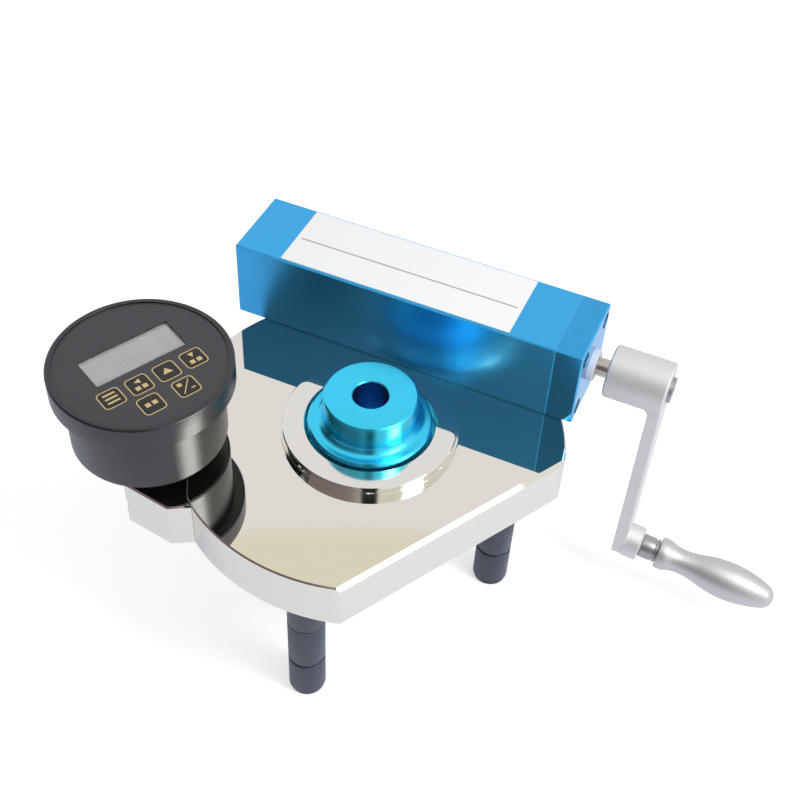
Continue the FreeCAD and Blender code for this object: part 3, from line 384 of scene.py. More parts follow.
finishes = {
    "nickelMirror": {
        "tone": (0.815, 0.79, 0.69), "shade": (0.79, 0.765, 0.665), "metallic": 1.0, "rough": (0.012, 0.05),
        "grain": 260.0, "grainBump": 0.008, "smear": 0.4, "hairlines": 0.5,
    },
    "chromeMirror": {
        "tone": (0.82, 0.81, 0.725), "shade": (0.79, 0.78, 0.70), "metallic": 1.0, "rough": (0.08, 0.12),
        "grain": 500.0, "grainBump": 0.003, "smear": 0.4, "hairlines": 0.3,
        "turning": 0.0005, "turningBump": 0.003,
    },
    "blueAnodised": {
        "tone": (0.062, 0.465, 0.86), "shade": (0.052, 0.43, 0.81), "metallic": 1.0, "rough": (0.33, 0.38),
        "grain": 420.0, "stretch": (0.12, 1.0, 1.0), "grainBump": 0.05, "smear": 0.3, "hairlines": 0.2,
        "coat": 0.15, "coatRough": 0.12, "edge": (0.03, 0.38, 0.72), "joint": 0.0796,
    },
    "capAnodised": {
        "tone": (0.050, 0.405, 0.74), "shade": (0.042, 0.37, 0.69), "metallic": 1.0, "rough": (0.25, 0.31),
        "grain": 420.0, "stretch": (1.0, 0.12, 1.0), "grainBump": 0.05, "smear": 0.3, "hairlines": 0.2,
        "coat": 0.15, "coatRough": 0.12, "edge": (0.03, 0.38, 0.72), "joint": 0.0796,
    },
    "cyanAnodised": {
        "tone": (0.058, 0.715, 0.985), "shade": (0.052, 0.68, 0.96), "metallic": 1.0, "rough": (0.26, 0.34),
        "grain": 800.0, "grainBump": 0.03, "smear": 0.2, "hairlines": 0.1,
        "turning": 0.0004, "turningBump": 0.06,
        # inner paints the bore a darker blue, as painted shade
        "coat": 0.2, "coatRough": 0.15, "anisotropic": 0.5, "inner": (0.0095, (0.06, 0.36, 0.66)),
    },
    "slateAnodised": {
        "tone": (0.057, 0.066, 0.090), "shade": (0.047, 0.055, 0.076), "metallic": 0.25,
        "rough": (0.36, 0.46),
        "grain": 1500.0, "grainBump": 0.08, "smear": 0.3, "hairlines": 0.2,
    },
    "blackAnodised": {
        "tone": (0.009, 0.0100, 0.0140), "shade": (0.006, 0.0068, 0.010), "metallic": 0.0,
        "rough": (0.30, 0.36),
        "grain": 1500.0, "grainBump": 0.03, "smear": 0.2, "hairlines": 0.05,
        "turning": 0.0004, "turningBump": 0.04,
        "anisotropic": 0.35, "specular": 0.72,
    },
    "silverCast": {
        "tone": (0.77, 0.765, 0.74), "shade": (0.72, 0.715, 0.69), "metallic": 1.0, "rough": (0.64, 0.72),
        "grain": 1700.0, "grainBump": 0.16, "smear": 0.3, "hairlines": 0.1,
    },
    "silverTurned": {
        "tone": (0.625, 0.62, 0.60), "shade": (0.58, 0.575, 0.555), "metallic": 1.0, "rough": (0.54, 0.60),
        "grain": 1700.0, "grainBump": 0.06, "smear": 0.2, "hairlines": 0.1,
    },
    "nutSteel": {
        "tone": (0.43, 0.425, 0.415), "shade": (0.37, 0.365, 0.355), "metallic": 1.0, "rough": (0.42, 0.50),
        "grain": 1400.0, "grainBump": 0.06, "smear": 0.3, "hairlines": 0.3,
    },
    "groundSteel": {
        "tone": (0.62, 0.61, 0.59), "shade": (0.50, 0.49, 0.47), "metallic": 1.0, "rough": (0.2, 0.32),
        "grain": 1400.0, "stretch": (1.0, 0.3, 0.3), "grainBump": 0.05, "smear": 0.4, "hairlines": 0.3,
    },
    "bronzeShaft": {
        "tone": (0.62, 0.58, 0.50), "shade": (0.53, 0.49, 0.42), "metallic": 1.0, "rough": (0.24, 0.34),
        "grain": 1400.0, "grainBump": 0.05, "smear": 0.4, "hairlines": 0.3,
    },
    "blackOxide": {
        "tone": (0.055, 0.052, 0.050), "shade": (0.035, 0.033, 0.032), "metallic": 0.7, "rough": (0.34, 0.5),
        "grain": 1800.0, "grainBump": 0.1, "smear": 0.4, "hairlines": 0.2,
    },
    "acetalWhite": {
        "tone": (0.80, 0.80, 0.82), "shade": (0.74, 0.74, 0.77), "metallic": 0.0, "rough": (0.25, 0.4),
        "grain": 900.0, "grainBump": 0.03, "smear": 0.2, "hairlines": 0.1,
    },
    "rubberBlack": {
        "tone": (0.028, 0.028, 0.029), "shade": (0.018, 0.018, 0.019), "metallic": 0.0, "rough": (0.6, 0.8),
        "grain": 2200.0, "grainBump": 0.25, "smear": 0.5, "hairlines": 0.0,
    },
    "faceOverlay": {
        "tone": (0.050, 0.049, 0.054), "shade": (0.043, 0.042, 0.047), "metallic": 0.0,
        "rough": (0.42, 0.52),
        "grain": 2600.0, "grainBump": 0.08, "smear": 0.3, "hairlines": 0.1, "specular": 0.4,
    },
    "keyOverlay": {
        "tone": (0.020, 0.018, 0.017), "shade": (0.015, 0.014, 0.013), "metallic": 0.0, "rough": (0.38, 0.5),
        "grain": 2600.0, "grainBump": 0.08, "smear": 0.2, "hairlines": 0.1, "specular": 0.4,
    },
    "goldPrint": {
        "tone": (0.66, 0.50, 0.23), "shade": (0.58, 0.43, 0.19), "metallic": 0.2, "rough": (0.38, 0.5),
        "grain": 2600.0, "grainBump": 0.05, "smear": 0.1, "hairlines": 0.0,
    },
    "crystalGrey": {
        "tone": (0.37, 0.365, 0.34), "shade": (0.345, 0.34, 0.315), "metallic": 0.0, "rough": (0.22, 0.3),
        "grain": 3000.0, "grainBump": 0.02, "smear": 0.2, "hairlines": 0.0,
    },
    "crystalGhost": {
        "tone": (0.30, 0.30, 0.28), "shade": (0.28, 0.28, 0.26), "metallic": 0.0, "rough": (0.25, 0.3),
        "grain": 3000.0, "grainBump": 0.02, "smear": 0.1, "hairlines": 0.0,
    },
    "crystalDot": {
        "tone": (0.14, 0.14, 0.16), "shade": (0.12, 0.12, 0.14), "metallic": 0.0, "rough": (0.25, 0.3),
        "grain": 3000.0, "grainBump": 0.02, "smear": 0.1, "hairlines": 0.0,
    },
    "labelFilm": {
        "tone": (0.895, 0.885, 0.865), "shade": (0.865, 0.855, 0.835), "metallic": 0.0, "rough": (0.4, 0.5),
        "grain": 700.0, "grainBump": 0.02, "smear": 0.3, "hairlines": 0.0,
    },
    "ruleInk": {
        "tone": (0.40, 0.40, 0.40), "shade": (0.36, 0.36, 0.36), "metallic": 0.0, "rough": (0.5, 0.6),
        "grain": 900.0, "grainBump": 0.02, "smear": 0.1, "hairlines": 0.0,
    },
    "boardGreen": {
        "tone": (0.02, 0.13, 0.05), "shade": (0.015, 0.10, 0.04), "metallic": 0.0, "rough": (0.3, 0.45),
        "grain": 800.0, "grainBump": 0.1, "smear": 0.1, "hairlines": 0.0,
    },
    "cellWrap": {
        "tone": (0.10, 0.20, 0.42), "shade": (0.08, 0.16, 0.36), "metallic": 0.1, "rough": (0.3, 0.4),
        "grain": 600.0, "grainBump": 0.02, "smear": 0.1, "hairlines": 0.0,
    },
}

turnedUv = "turn"
upwards = (0.0, 0.0, 1.0)


def makeFinish(name, values, axis, centre, tangent):
    material = bpy.data.materials.new(name)
    material.use_nodes = True
    tree = material.node_tree
    tree.nodes.clear()
    coordinates = wired(tree, "ShaderNodeTexCoord").outputs
    place = coordinates["Object"]
    grain = placedGroup(tree, grainGroup, {
        "Vector": place, "Scale": values["grain"], "Stretch": values.get("stretch", (1, 1, 1))})
    handled = placedGroup(tree, handlingGroup, {
        "Vector": place, "Smear": values["smear"], "Hairlines": values["hairlines"]})["Mask"]
    tone = mixed(tree, grain["Mask"], values["tone"], values["shade"])
    bump = wired(tree, "ShaderNodeBump", {
        "Strength": values["grainBump"], "Distance": 0.00005, "Height": grain["Height"]})
    if "turning" in values:
        turn = Vector(axis).rotation_difference(Vector(upwards)).to_matrix()
        shift = -(turn @ Vector(centre))
        centred = wired(tree, "ShaderNodeMapping", {
            "Vector": place, "Location": shift, "Rotation": turn.to_euler()})
        rings = placedGroup(tree, turningGroup, {"Vector": centred.outputs[0], "Pitch": values["turning"]})
        bump = wired(tree, "ShaderNodeBump", {
            "Strength": values["turningBump"], "Distance": 0.00005, "Height": rings["Height"],
            "Normal": bump.outputs[0]})
        ringed = worked(tree, "MULTIPLY", rampedMask(tree, rings["Tone"], 0.42, 0.62), 0.35)
        handled = worked(tree, "ADD", handled, ringed, clamp=True)
        # Painted shade: inside the bore's radius the colour turns a darker blue
        if "inner" in values:
            bore, paintedBoreShade = values["inner"]
            outside = rampedMask(tree, rings["Radius"], bore, bore * 1.02)
            tone = mixed(tree, outside, paintedBoreShade, tone)
    metallic = values["metallic"]
    # Painted highlight: broken edges that don't face down, and the joint, get a paler, less metallic colour
    if "edge" in values:
        highlitEdges = placedGroup(tree, edgeHighlightGroup, {
            "Facing": coordinates["Normal"], "Vector": place, "Joint": values["joint"]})["Mask"]
        tone = mixed(tree, highlitEdges, tone, values["edge"])
        metallic = worked(tree, "SUBTRACT", metallic, worked(tree, "MULTIPLY", highlitEdges, highlightDulling))
    shader = wired(tree, "ShaderNodeBsdfPrincipled", {
        "Base Color": tone,
        "Metallic": metallic,
        "Normal": bump.outputs[0],
        "Coat Weight": values.get("coat", 0.0),
        "Coat Roughness": values.get("coatRough", 0.03),
        "Specular IOR Level": values.get("specular", 0.5),
    })
    low, high = values["rough"]
    rough = wired(tree, "ShaderNodeMapRange", {"Value": handled, "To Min": low, "To Max": high})
    tree.links.new(rough.outputs["Result"], shader.inputs["Roughness"])
    if tangent and "anisotropic" in values:
        shader.inputs["Anisotropic"].default_value = values["anisotropic"]
        shader.inputs["Anisotropic Rotation"].default_value = 0.25
        along = wired(tree, "ShaderNodeTangent", direction_type="UV_MAP", uv_map=turnedUv)
        tree.links.new(along.outputs[0], shader.inputs["Tangent"])
    wired(tree, "ShaderNodeOutputMaterial", {"Surface": shader.outputs[0]})
    return material


made = {}


def finish(name, axis=upwards, centre=(0, 0, 0), tangent=False):
    # A turned finish is made once for each axis that its marks run round
    turned = "turning" in finishes[name]
    key = (name, tuple(axis), tuple(centre), tangent) if turned else (name, upwards, (0, 0, 0), tangent)
    if key not in made:
        made[key] = makeFinish(name, finishes[name], *key[1:])
    return made[key]


windowGlass = {"tint": (0.97, 0.98, 0.98), "rough": 0.03, "ior": 1.49}


def makeGlass():
    material = bpy.data.materials.new("windowGlass")
    material.use_nodes = True
    tree = material.node_tree
    tree.nodes.clear()
    shader = wired(tree, "ShaderNodeBsdfPrincipled", {
        "Base Color": (*windowGlass["tint"], 1.0), "Roughness": windowGlass["rough"],
        "IOR": windowGlass["ior"], "Transmission Weight": 1.0})
    clear = wired(tree, "ShaderNodeBsdfTransparent")
    shadow = wired(tree, "ShaderNodeLightPath").outputs["Is Shadow Ray"]
    both = wired(tree, "ShaderNodeMixShader", {0: shadow, 1: shader.outputs[0], 2: clear.outputs[0]})
    wired(tree, "ShaderNodeOutputMaterial", {"Surface": both.outputs[0]})
    return material


print("finishes ready")


# Turned pieces: a profile of (radius, height) points that Geometry Nodes sweep round.
# A third number of 1 makes the profile's point run round a hexagon, with the radius at its corners.

def makeTurningTree():
    tree = bpy.data.node_groups.new("turnedPiece", "GeometryNodeTree")
    start, end = sockets(
        tree,
        [("Geometry", "NodeSocketGeometry", None), ("Segments", "NodeSocketInt", 128),
         ("Crease", "NodeSocketFloat", 0.5), ("Material", "NodeSocketMaterial", None)],
        [("Geometry", "NodeSocketGeometry")])
    profile = start.outputs["Geometry"]
    count = wired(tree, "GeometryNodeAttributeDomainSize", {0: profile}).outputs["Point Count"]
    columns = worked(tree, "ADD", start.outputs["Segments"], 1.0)
    grid = wired(tree, "GeometryNodeMeshGrid", {"Vertices X": columns, "Vertices Y": count})
    index = wired(tree, "GeometryNodeInputIndex").outputs[0]
    column = worked(tree, "FLOOR", worked(tree, "DIVIDE", worked(tree, "ADD", index, 0.5), count))
    row = worked(tree, "SUBTRACT", index, worked(tree, "MULTIPLY", column, count))
    here = wired(tree, "GeometryNodeInputPosition").outputs[0]
    sampled = wired(tree, "GeometryNodeSampleIndex", {0: profile}, data_type="FLOAT_VECTOR")
    tree.links.new(here, sampled.inputs["Value"])
    tree.links.new(row, sampled.inputs["Index"])
    radius, sixSided, height = wired(tree, "ShaderNodeSeparateXYZ", {0: sampled.outputs[0]}).outputs
    angle = worked(
        tree, "DIVIDE", worked(tree, "MULTIPLY", column, 2 * math.pi), start.outputs["Segments"])
    sector = worked(tree, "SUBTRACT", worked(tree, "MODULO", angle, math.pi / 3), math.pi / 6)
    flatness = worked(tree, "DIVIDE", math.cos(math.pi / 6), worked(tree, "COSINE", sector))
    change = worked(tree, "MULTIPLY", worked(tree, "SUBTRACT", flatness, 1.0), sixSided)
    reach = worked(tree, "MULTIPLY", radius, worked(tree, "ADD", change, 1.0))
    spot = wired(tree, "ShaderNodeCombineXYZ", {
        "X": worked(tree, "MULTIPLY", reach, worked(tree, "COSINE", angle)),
        "Y": worked(tree, "MULTIPLY", reach, worked(tree, "SINE", angle)),
        "Z": height})
    kept = wired(tree, "GeometryNodeStoreNamedAttribute", {
        "Geometry": grid.outputs["Mesh"], "Name": turnedUv, "Value": grid.outputs["UV Map"],
    }, data_type="FLOAT2", domain="CORNER")
    swept = wired(
        tree, "GeometryNodeSetPosition", {"Geometry": kept.outputs[0], "Position": spot.outputs[0]})
    closed = wired(tree, "GeometryNodeMergeByDistance", {"Geometry": swept.outputs[0], "Distance": 1e-6})
    smooth = wired(tree, "GeometryNodeSetShadeSmooth", {"Geometry": closed.outputs[0], "Shade Smooth": True})
    bend = wired(tree, "GeometryNodeInputMeshEdgeAngle").outputs["Unsigned Angle"]
    sharp = wired(
        tree, "FunctionNodeCompare", {0: bend, 1: start.outputs["Crease"]}, operation="GREATER_THAN")
    creased = wired(tree, "GeometryNodeSetShadeSmooth", {
        "Geometry": smooth.outputs[0], "Selection": sharp.outputs[0], "Shade Smooth": False}, domain="EDGE")
    whole = wired(tree, "GeometryNodeRealizeInstances", {0: creased.outputs[0]})
    finished = wired(tree, "GeometryNodeSetMaterial", {
        "Geometry": whole.outputs[0], "Material": start.outputs["Material"]})
    tree.links.new(finished.outputs[0], end.inputs["Geometry"])
    return tree


# Repeated pieces: one finished piece on every point of a carrier, its own +Z along the point's facing

def makeRepeatTree():
    tree = bpy.data.node_groups.new("repeatedPiece", "GeometryNodeTree")
    start, end = sockets(
        tree,
        [("Geometry", "NodeSocketGeometry", None), ("Piece", "NodeSocketObject", None),
         ("Material", "NodeSocketMaterial", None)],
        [("Geometry", "NodeSocketGeometry")])
    single = wired(tree, "GeometryNodeObjectInfo", {"Object": start.outputs["Piece"], "As Instance": True})
    facing = wired(tree, "GeometryNodeInputNamedAttribute", {"Name": "facing"}, data_type="FLOAT_VECTOR")
    turn = wired(tree, "FunctionNodeAlignRotationToVector", {"Vector": facing.outputs[0]}, axis="Z")
    spread = wired(tree, "GeometryNodeInstanceOnPoints", {
        "Points": start.outputs["Geometry"], "Instance": single.outputs["Geometry"],
        "Rotation": turn.outputs[0]})
    whole = wired(tree, "GeometryNodeRealizeInstances", {0: spread.outputs[0]})
    finished = wired(tree, "GeometryNodeSetMaterial", {
        "Geometry": whole.outputs[0], "Material": start.outputs["Material"]})
    tree.links.new(finished.outputs[0], end.inputs["Geometry"])
    return tree


turningTree = makeTurningTree()
repeatTree = makeRepeatTree()


def grown(carrier, tree, values):
    # Runs a tree on a carrier object and leaves its result as the carrier's plain mesh
    modifier = carrier.modifiers.new("grow", "NODES")
    modifier.node_group = tree
    for item in tree.interface.items_tree:
        if item.item_type == "SOCKET" and item.in_out == "INPUT" and item.name in values:
            modifier[item.identifier] = values[item.name]
    depsgraph = bpy.context.evaluated_depsgraph_get()
    mesh = bpy.data.meshes.new_from_object(carrier.evaluated_get(depsgraph), depsgraph=depsgraph)
    mesh.name = carrier.name
    carrier.modifiers.clear()
    carrier.data = mesh
    return carrier


def mendNormals(mesh):
    work = bmesh.new()
    work.from_mesh(mesh)
    bmesh.ops.remove_doubles(work, verts=work.verts, dist=1e-7)
    bmesh.ops.dissolve_degenerate(work, dist=1e-8, edges=work.edges)
    bmesh.ops.recalc_face_normals(work, faces=work.faces)
    work.to_mesh(mesh)
    work.free()


def creased(mesh, degrees):
    # Smooth curves, with a crisp edge wherever two faces meet at more than this
    limit = math.radians(degrees)
    work = bmesh.new()
    work.from_mesh(mesh)
    for face in work.faces:
        face.smooth = True
    for side in work.edges:
        side.smooth = side.is_manifold and side.calc_face_angle(math.pi) < limit
    work.to_mesh(mesh)
    work.free()


def softened(profile, radius, steps=3):
    # Rounds every corner of an open profile with a short arc, or less where the sides are short
    points = [Vector(p) for p in profile]
    out = [points[0]]
    for before, corner, after in zip(points, points[1:], points[2:]):
        a = before - corner
        b = after - corner
        if a.length < 1e-9 or b.length < 1e-9 or abs(a.angle(b) - math.pi) < 0.12:
            out.append(corner)
            continue
        reach = min(radius / math.tan(a.angle(b) / 2), a.length * 0.45, b.length * 0.45)
        p = corner + a.normalized() * reach
        q = corner + b.normalized() * reach
        for n in range(steps + 1):
            t = n / steps
            out.append(p * (1 - t) ** 2 + corner * (2 * t * (1 - t)) + q * t**2)
    return [tuple(p) for p in out + [points[-1]]]


def arc(centre, radius, start, end, steps):
    # Points round a centre in the plane of a profile, in degrees
    angles = [math.radians(start + (end - start) * n / steps) for n in range(steps + 1)]
    return [(centre[0] + radius * math.cos(a), centre[1] + radius * math.sin(a)) for a in angles]


def onAxis(axis, place):
    turn = Vector(upwards).rotation_difference(Vector(axis)).to_matrix().to_4x4()
    return Matrix.Translation([v * mm for v in place]) @ turn


def turned(name, profile, material, axis=upwards, place=(0, 0, 0), segments=160, crease=32):
    # profile and place in millimetres, the profile from the piece's own axis and place
    points = []
    for radius, height, *sixSided in profile:
        points.append((radius * mm, float(sum(sixSided)), height * mm))
    mesh = bpy.data.meshes.new(name)
    mesh.from_pydata(points, [(n, n + 1) for n in range(len(points) - 1)], [])
    piece = linked(name, mesh)
    grown(piece, turningTree, {"Segments": segments, "Crease": math.radians(crease), "Material": material})
    mendNormals(piece.data)
    piece.data.transform(onAxis(axis, place))
    return piece


def repeated(name, single, places, facings, material):
    # places in millimetres; the single piece is used up
    mesh = bpy.data.meshes.new(name)
    mesh.from_pydata([[v * mm for v in place] for place in places], [], [])
    facing = mesh.attributes.new("facing", "FLOAT_VECTOR", "POINT")
    for item, way in zip(facing.data, facings):
        item.vector = way
    piece = linked(name, mesh)
    grown(piece, repeatTree, {"Piece": single, "Material": material})
    bpy.data.objects.remove(single)
    return piece


def joined(name, pieces):
    # One object from several, each with its own materials
    mesh = bpy.data.meshes.new(name)
    work = bmesh.new()
    for piece in pieces:
        first = len(work.faces)
        work.from_mesh(piece.data)
        work.faces.ensure_lookup_table()
        offset = len(mesh.materials)
        for face in work.faces[first:]:
            face.material_index += offset
        for material in piece.data.materials:
            mesh.materials.append(material)
        bpy.data.objects.remove(piece)
    work.to_mesh(mesh)
    work.free()
    return linked(name, mesh)


def layered(name, outline, levels, material):
    # An upright solid through loops of one outline: levels are (inset, height) from the bottom to the top
    work = bmesh.new()
    rows = []
    for inset, height in levels:
        rows.append([work.verts.new((x * mm, y * mm, height * mm)) for x, y in outline(inset)])
    size = len(rows[0])
    for lower, upper in zip(rows, rows[1:]):
        for n in range(size):
            after = (n + 1) % size
            work.faces.new((lower[n], lower[after], upper[after], upper[n]))
    work.faces.new(rows[0][::-1])
    work.faces.new(rows[-1])
    mesh = bpy.data.meshes.new(name)
    work.to_mesh(mesh)
    work.free()
    mesh.materials.append(material)
    return linked(name, mesh)


def roundedBox(length, width, corner, steps=6):
    # Outline of a rounded rectangle, for layered(): the inset goes inwards all round
    def outline(inset):
        points = []
        radius = max(corner - inset, 0.02)
        halfLength = length / 2 - inset - radius
        halfWidth = width / 2 - inset - radius
        for sx, sy, start in ((1, 1, 0), (-1, 1, 90), (-1, -1, 180), (1, -1, 270)):
            points += arc((sx * halfLength, sy * halfWidth), radius, start, start + 90, steps)
        return points
    return outline


def straight(corners):
    # Outline of a small straight-sided mark
    return lambda inset: corners


# Pieces that keep their CAD form: a merged copy with smooth curves and crisp edges

def copied(name, node, material, crease=28):
    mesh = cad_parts[node].data.copy()
    mesh.name = name
    mesh.materials.clear()
    mesh.materials.append(material)
    while mesh.uv_layers:
        mesh.uv_layers.remove(mesh.uv_layers[0])
    work = bmesh.new()
    work.from_mesh(mesh)
    bmesh.ops.remove_doubles(work, verts=work.verts, dist=2e-6)
    bmesh.ops.dissolve_limit(work, angle_limit=math.radians(0.05), verts=work.verts, edges=work.edges)
    for face in work.faces:
        face.material_index = 0
    work.to_mesh(mesh)
    work.free()
    creased(mesh, crease)
    return linked(name, mesh)


# Socket screws of every size

def socketProfile(radius, length, headRadius, headHeight, socketWidth, edge=0.35):
    corner = socketWidth / math.sqrt(3)
    floor = headHeight * 0.45
    return [
        (0, floor), (corner, floor, 1), (corner, headHeight - edge / 2, 1), (corner + edge / 2, headHeight),
        (headRadius - edge, headHeight), (headRadius, headHeight - edge), (headRadius, 0.15),
        (headRadius - 0.15, 0), (radius, 0), (radius, -length + edge),
        (radius - edge, -length), (0, -length),
    ]


def screwSet(name, node, profile, places, facings, finishName, slotName):
    single = turned(name + "_single", profile, finish(finishName), segments=48)
    piece = repeated(name, single, places, facings, finish(finishName))
    return ridden(piece, "frame", slotName, node)


# Base

baseForm = {
    "lugAngle": -150.0, "lugSeat": 120.4, "lugSpread": 24.0, "lugLevel": -14.75,
    "lugScrew": (3.0, 38.9, 5.0, 5.4, 5.0), "ringCircle": 43.7, "ringTurns": (-165.0, -115.0, -65.0, -15.0),
    "ringSeat": -13.5, "ringScrew": (1.25, 18.1, 2.25, 2.5, 2.0), "boltSeat": -22.9,
    "boltScrew": (3.0, 35.9, 5.0, 6.0, 5.0),
    "boltPlaces": ((-62, 58.3), (62, 58.3), (-20, 89.3), (20, 89.3)),
    "linerBottom": -25.5, "linerFloor": -20.5, "linerRadius": 41.0, "linerBore": 36.05, "stemBore": 14.05,
    "sealRadius": 16.6, "sealLow": -24.2, "sealHigh": -21.8, "flangeRadius": 47.0, "flangeTop": 2.6,
    "flangeEdge": 0.15,
    "oilTurns": (-150.0, 111.047), "oilLevel": -18.0, "oilRadius": 2.0,
    "ringRadius": 46.0, "ringOpening": 34.1, "ringTop": 6.1, "ringCut": 12.0, "ringCorner": 5.0,
    "ringEdge": 0.5, "threadRadius": 1.3, "threadTop": 4.9,
}


def drilled(piece, radius, reach, places, facings):
    # Holes of one size, each from its place along its facing
    material = piece.data.materials[0]
    hole = turned("hole", [(0, 0), (radius, 0), (radius, reach), (0, reach)], material, segments=36)
    holes = repeated("holes", hole, places, facings, material)
    cut = piece.modifiers.new("drill", "BOOLEAN")
    cut.object = holes
    cut.operation = "DIFFERENCE"
    cut.solver = "EXACT"
    depsgraph = bpy.context.evaluated_depsgraph_get()
    mesh = bpy.data.meshes.new_from_object(piece.evaluated_get(depsgraph), depsgraph=depsgraph)
    mesh.name = piece.name
    piece.modifiers.clear()
    piece.data = mesh
    bpy.data.objects.remove(holes)


def makeLiner():
    b = baseForm
    edge = b["flangeEdge"]
    profile = [
        (b["stemBore"], b["linerBottom"]), (b["linerRadius"], b["linerBottom"]), (b["linerRadius"], 0),
        (b["flangeRadius"], 0), (b["flangeRadius"], b["flangeTop"] - edge),
        (b["flangeRadius"] - edge, b["flangeTop"]), (b["linerBore"], b["flangeTop"]),
        (b["linerBore"], b["linerFloor"]), (b["stemBore"], b["linerFloor"]), (b["stemBore"], b["sealHigh"]),
        (b["sealRadius"], b["sealHigh"]), (b["sealRadius"], b["sealLow"]), (b["stemBore"], b["sealLow"]),
        (b["stemBore"], b["linerBottom"]),
    ]
    piece = turned("cylinder_liner_turned", profile, finish("chromeMirror"), segments=288)
    inside = b["linerBore"] - 1
    drilled(
        piece, b["oilRadius"], b["linerRadius"] - inside + 1,
        [polar(inside, turn, b["oilLevel"]) for turn in b["oilTurns"]],
        [polar(1.0, turn) for turn in b["oilTurns"]])
    places = [polar(b["ringCircle"], turn, -1.0) for turn in b["ringTurns"]]
    drilled(piece, b["threadRadius"], b["flangeTop"] + 2, places, [upwards] * 4)
    ridden(piece, "frame", "mirror_ring", "cylinder_liner")


def ringOutline(inset):
    # Horseshoe: the round rim with its two rounded corners, then back along the opening
    b = baseForm
    centreY = b["ringCut"] - b["ringCorner"]
    centreX = math.sqrt((b["ringRadius"] - b["ringCorner"]) ** 2 - centreY**2)
    lean = math.degrees(math.atan2(centreY, centreX))
    corner = b["ringCorner"] - inset
    points = arc((-centreX, centreY), corner, 90, 180 - lean, 12)
    points += arc((0, 0), b["ringRadius"] - inset, 180 - lean, 360 + lean, 200)[1:-1]
    points += arc((centreX, centreY), corner, lean, 90, 12)
    opening = b["ringOpening"] + inset
    inner = math.degrees(math.asin((b["ringCut"] - inset) / opening))
    return points + arc((0, 0), opening, 360 + inner, 180 - inner, 180)


def makeRing():
    b = baseForm
    low = b["flangeTop"]
    levels = [(0, low), (0, b["ringTop"] - b["ringEdge"]), (b["ringEdge"], b["ringTop"])]
    piece = layered("cover_ring_polished", ringOutline, levels, finish("chromeMirror"))
    mendNormals(piece.data)
    creased(piece.data, 28)
    places = [polar(b["ringCircle"], turn, low - 1) for turn in b["ringTurns"]]
    drilled(piece, b["threadRadius"], b["threadTop"] - low + 1, places, [upwards] * 4)
    ridden(piece, "frame", "mirror_ring", "cover_ring")


def makeBase():
    b = baseForm
    for node in ("base_plate", "gauge_lug"):
        ridden(copied(node + "_polished", node, finish("nickelMirror")), "frame", "mirror_plate", node)
    makeLiner()
    makeRing()
    outward = Vector(polar(1.0, b["lugAngle"]))
    across = Vector((-outward.y, outward.x, 0))
    seats = []
    for side in (-1, 1):
        seats.append(outward * b["lugSeat"] + across * side * b["lugSpread"] + Vector((0, 0, b["lugLevel"])))
    screwSet(
        "lug_screws_turned", "lug_screws", socketProfile(*b["lugScrew"]), seats, [outward] * 2,
        "groundSteel", "bright_steel")
    screwSet(
        "ring_screws_turned", "ring_screws", socketProfile(*b["ringScrew"], edge=0.2),
        [polar(b["ringCircle"], turn, b["ringSeat"]) for turn in b["ringTurns"]], [(0, 0, -1)] * 4,
        "blackOxide", "dark_steel")
    screwSet(
        "block_bolts_turned", "block_bolts", socketProfile(*b["boltScrew"]),
        [(x, y, b["boltSeat"]) for x, y in b["boltPlaces"]], [(0, 0, -1)] * 4,
        "blackOxide", "dark_steel")


makeBase()
print("base ready")


# Legs and levelling feet, each a bar with its stud on top and the next piece's thread below

legForm = {
    "circle": 76.0, "angles": (-90.0, 30.0, 150.0), "radius": 10.2, "edge": 0.5, "softness": 0.15,
    "stud": 5.0, "studLength": 13.0, "bore": 5.05, "boreDepth": 14.0,
    "postTop": -29.5, "postBottom": -73.0, "extensionBottom": -105.5,
    "footTop": -105.8, "footStud": 17.0, "footBore": 18.0, "waist": 9.0, "waistLength": 1.2,
    "footBottom": -133.0, "footRecess": 2.0, "padRadius": 9.6, "padPlug": 8.57, "floor": -135.0,
}


def legBar(top, bottom, bore, topEdge):
    p = legForm
    return [
        (0, top + p["studLength"]), (p["stud"], top + p["studLength"]), (p["stud"], top),
        (p["radius"] - topEdge, top), (p["radius"], top - topEdge), (p["radius"], bottom + p["edge"]),
        (p["radius"] - p["edge"], bottom), (p["bore"], bottom),
        (p["bore"], bottom + bore), (0, bottom + bore),
    ]


